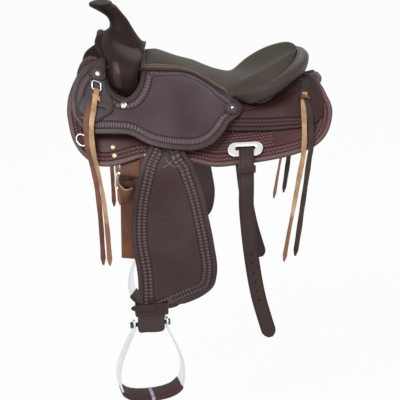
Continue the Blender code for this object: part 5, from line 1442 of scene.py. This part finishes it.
# The rigging strap turns in an arc round the dee's top, and the tie strap round its bottom.
def makeFrontRigging():
    x, thick, turnReach = rigging["strapX"], rigging["latigoThick"], rigging["strapTurn"]
    rigTop = -layers["skirt"] - 3.4 * layers["gap"] - thick / 2
    centre, along, down, normal = spotOn(x, rigging["strapS"], level(rigTop - turnReach))
    path = [side(x * mm, s * mm, rigTop) for s in (224, 240, 256, 272, 288)]
    angles = np.radians((50, 20, -10, -40, -70))[:, None]
    path = np.concatenate([path, centre + turnReach * (down * np.cos(angles) + normal * np.sin(angles)),
                           [side(x * mm, s * mm, rigTop - 0.0100) for s in (284, 266, 248)]])
    shape = carry(through(path, 0.004), along, rigging["latigo"], thick, 6.0, 16)
    bothSides("rigging_strap", shape, "latigo", "saddle", ("rigging_leather",))
    deeDown = np.array((0.0, 0.02, -1.0))
    deeDown = unit(deeDown - along * (deeDown @ along))
    half = rigging["latigo"] / 2 + rigging["deeRoom"]
    loop = deeLoop(centre, along, deeDown, half, rigging["deeTall"], rigging["deeCorner"], 0.003)
    bothSides("rigging_dee_metal", wire(loop, rigging["deeWire"] / 2, 14, True), "nickel", "dee_body",
              ("rigging_dee",))
    ring = centre + deeDown * rigging["deeTall"]
    turnReach, length = rigging["tieTurn"], rigging["latigoLength"]
    behind = [ring + (0.0, turnReach + 0.0002, -length * share) for share in (0.67, 0.44, 0.22, 0.11)]
    angles = np.radians(np.arange(-90, 91, 30))[:, None]
    over = ring + turnReach * np.concatenate([0 * angles, -np.sin(angles), np.cos(angles)], axis=1)
    makeCoil(ring, along)
    before = [ring - (0.0, turnReach, length * share) for share in (0.12, 0.3, 0.5, 0.75, 1.0)]
    path = through(np.concatenate([behind, over, before]), 0.004)
    shape = carry(path, along, rigging["latigo"] * rigging["tieShare"], thick, 6.0, 16)
    bothSides("latigo_tie", shape, "latigo", "tie_body", ("tie_strap",))


# The breast ring is a circle of wire with a tab turned round it in an arc; the string's is a dee.
def makeRings():
    place, along, down, normal = spotOn(-267, 249, level(0.0))
    centre = place + normal * 0.0059
    angle = np.linspace(0, 2 * math.pi, 48, endpoint=False)[:, None]
    loop = centre + rigging["ring"] * (np.cos(angle) * along + np.sin(angle) * down)
    bothSides("breast_ring", wire(loop, rigging["ringWire"] / 2, 12, True), "nickel", "breast_body",
              ("breast_dee",))
    edge, reach = centre + along * rigging["ring"], rigging["tabReach"]
    turns = np.radians((80, 110, 140, 180, 220, 250, 280))[:, None]
    path = np.concatenate([[edge + normal * reach + along * x for x in (0.022, 0.014, 0.007)],
                           edge + reach * (along * np.cos(turns) + normal * np.sin(turns)),
                           [edge - normal * reach + along * x for x in (0.007, 0.014, 0.022)]])
    bothSides("breast_loop", carry(through(path, 0.002), down, 0.010, 0.0018, 5.0, 12), "strap", "saddle",
              ("breast_tab",))
    top = frontTurn - frontDee[2] * 2 * strings["deeHalf"]
    loop = deeLoop(top, frontDee[1], frontDee[2], strings["deeHalf"], 2 * strings["deeHalf"], 0.0042, 0.0015)
    bothSides("string_ring", wire(loop, strings["wire"], 10, True), "nickel", "saddle", ("string_dee",))


# The rolled end: turns and radii of the spiral, its middle from the dee, and the pocket's horns,
# lip, fall, half widths, shift and bow.
coil = {"turns": 2.2, "inner": 0.0028, "outer": 0.0112, "first": 60.0, "width": 0.034,
        "middle": (-0.003, -0.0168, 0.024), "left": 0.020, "right": 0.010, "lip": -0.016, "fall": 0.052,
        "pocket": 0.0225, "foot": 0.0185, "shift": 0.004, "bow": 0.0185}


# The rest of the tie strap, rolled up and held in a pocket of the strap: a spiral seen from its
# edge, and a bowed sheet whose top edge sags between two horns.
def makeCoil(ring, along):
    turns = np.linspace(0.0, coil["turns"], 150)
    radius = coil["inner"] + (coil["outer"] - coil["inner"]) * turns / coil["turns"]
    angle = 2 * math.pi * turns[:, None] + math.radians(coil["first"])
    middle = ring + np.array(coil["middle"])
    spiral = middle + radius[:, None] * np.concatenate([0 * angle, np.cos(angle), np.sin(angle)], axis=1)
    roll = carry(spiral, along, coil["width"], 0.0028, 6.0, 14)
    bothSides("tie_coil", roll, "coil", "tie_body")
    a, b = np.linspace(-1.0, 1.0, 33)[None, :], np.linspace(0.0, 1.0, 25)[:, None]
    sag = np.where(a < 0, coil["left"], coil["right"]) * np.abs(a) ** 1.8
    top = middle[2] + coil["lip"] + sag
    low = middle[2] - coil["fall"]
    z = top + (low - top) * b
    half = coil["pocket"] + (coil["foot"] - coil["pocket"]) * ramp(b, 0.0, 1.0)
    x = middle[0] + coil["shift"] * b + half * a * np.where(a < 0, 1.0, 0.92)
    bow = coil["bow"] * (1.0 - ramp(b, 0.15, 1.0)) * np.sqrt(np.maximum(1.0 - (0.92 * a) ** 2, 0.0))
    y = ring[1] - 0.0085 - bow + 0 * z
    front = np.stack([x + 0 * z, y, z], axis=-1)
    back = front + (0.0, 0.0026, 0.0)
    bothSides("tie_pocket", shellOf(front, back), "latigo", "tie_body")
    edges = [wire((front[0] + back[0]) / 2, 0.0017, 8),
             wire(spiral[-46:] - along * coil["width"] / 2, 0.0012, 8)]
    bothSides("tie_pocket_edge", joined(*edges), "rim", "tie_body")


makeRigging()
makeFrontRigging()
makeRings()
print("rigging made")


# A domed profile as shares of radius and height, and each trim's name, place in x and s, layer,
# radius, height, finish and lobes.
domed = [(0.0002, 1.0), (0.35, 0.93), (0.62, 0.72), (0.80, 0.46), (0.86, 0.34), (0.94, 0.40), (1.0, 0.26),
         (1.0, 0.0)]
trims = [("string_rosette", (-233, 103), plateTop, 0.0200, 0.0056, "rosette", 14),
         ("string_concho", (-233, 103), plateTop, 0.0088, 0.0076, "nickel", 0),
         ("front_concho", (-173, 154), jockeyTop, 0.0070, 0.0048, "nickel", 0),
         ("seat_rosette", (74, 134), jockeyTop, 0.0200, 0.0056, "rosette", 14),
         ("seat_concho", (74, 134), jockeyTop, 0.0070, 0.0066, "nickel", 0),
         ("upper_rivet", (-197, 245), level(0.0), 0.0054, 0.0024, "brass", 0),
         ("lower_rivet", (-193, 264), level(0.0), 0.0054, 0.0024, "brass", 0),
         ("rear_rivet", (-121, 250), level(0.0), 0.0054, 0.0024, "brass", 0)]


# The profile scaled to each trim's radius and height and turned round the side's outward line.
def makeTrims():
    for name, (x, s), cover, radius, height, finish, lobes in trims:
        place, _, _, normal = spotOn(x, s, cover)
        profile = [(r * radius, h * height + 0.0002) for r, h in domed[::-1]]
        shape = turned(profile, place, normal, 168 if lobes else 48, lobes, 0.13 if lobes else 0.0)
        bothSides(name, shape, finish)


makeTrims()
print("rosettes, conchos and rivets set")


# The parts that keep their solids, and their finishes.
kept = {"cantle_board": "wood", "ground_seat": "fork", "cantle_back": "strap", "near_bar": "wood",
        "off_bar": "wood", "near_stirrup_bolt": "steel", "off_stirrup_bolt": "steel"}
for node, finish in kept.items():
    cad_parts[node].data.materials.clear()
    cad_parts[node].data.materials.append(finishes[finish])
print("kept parts finished")
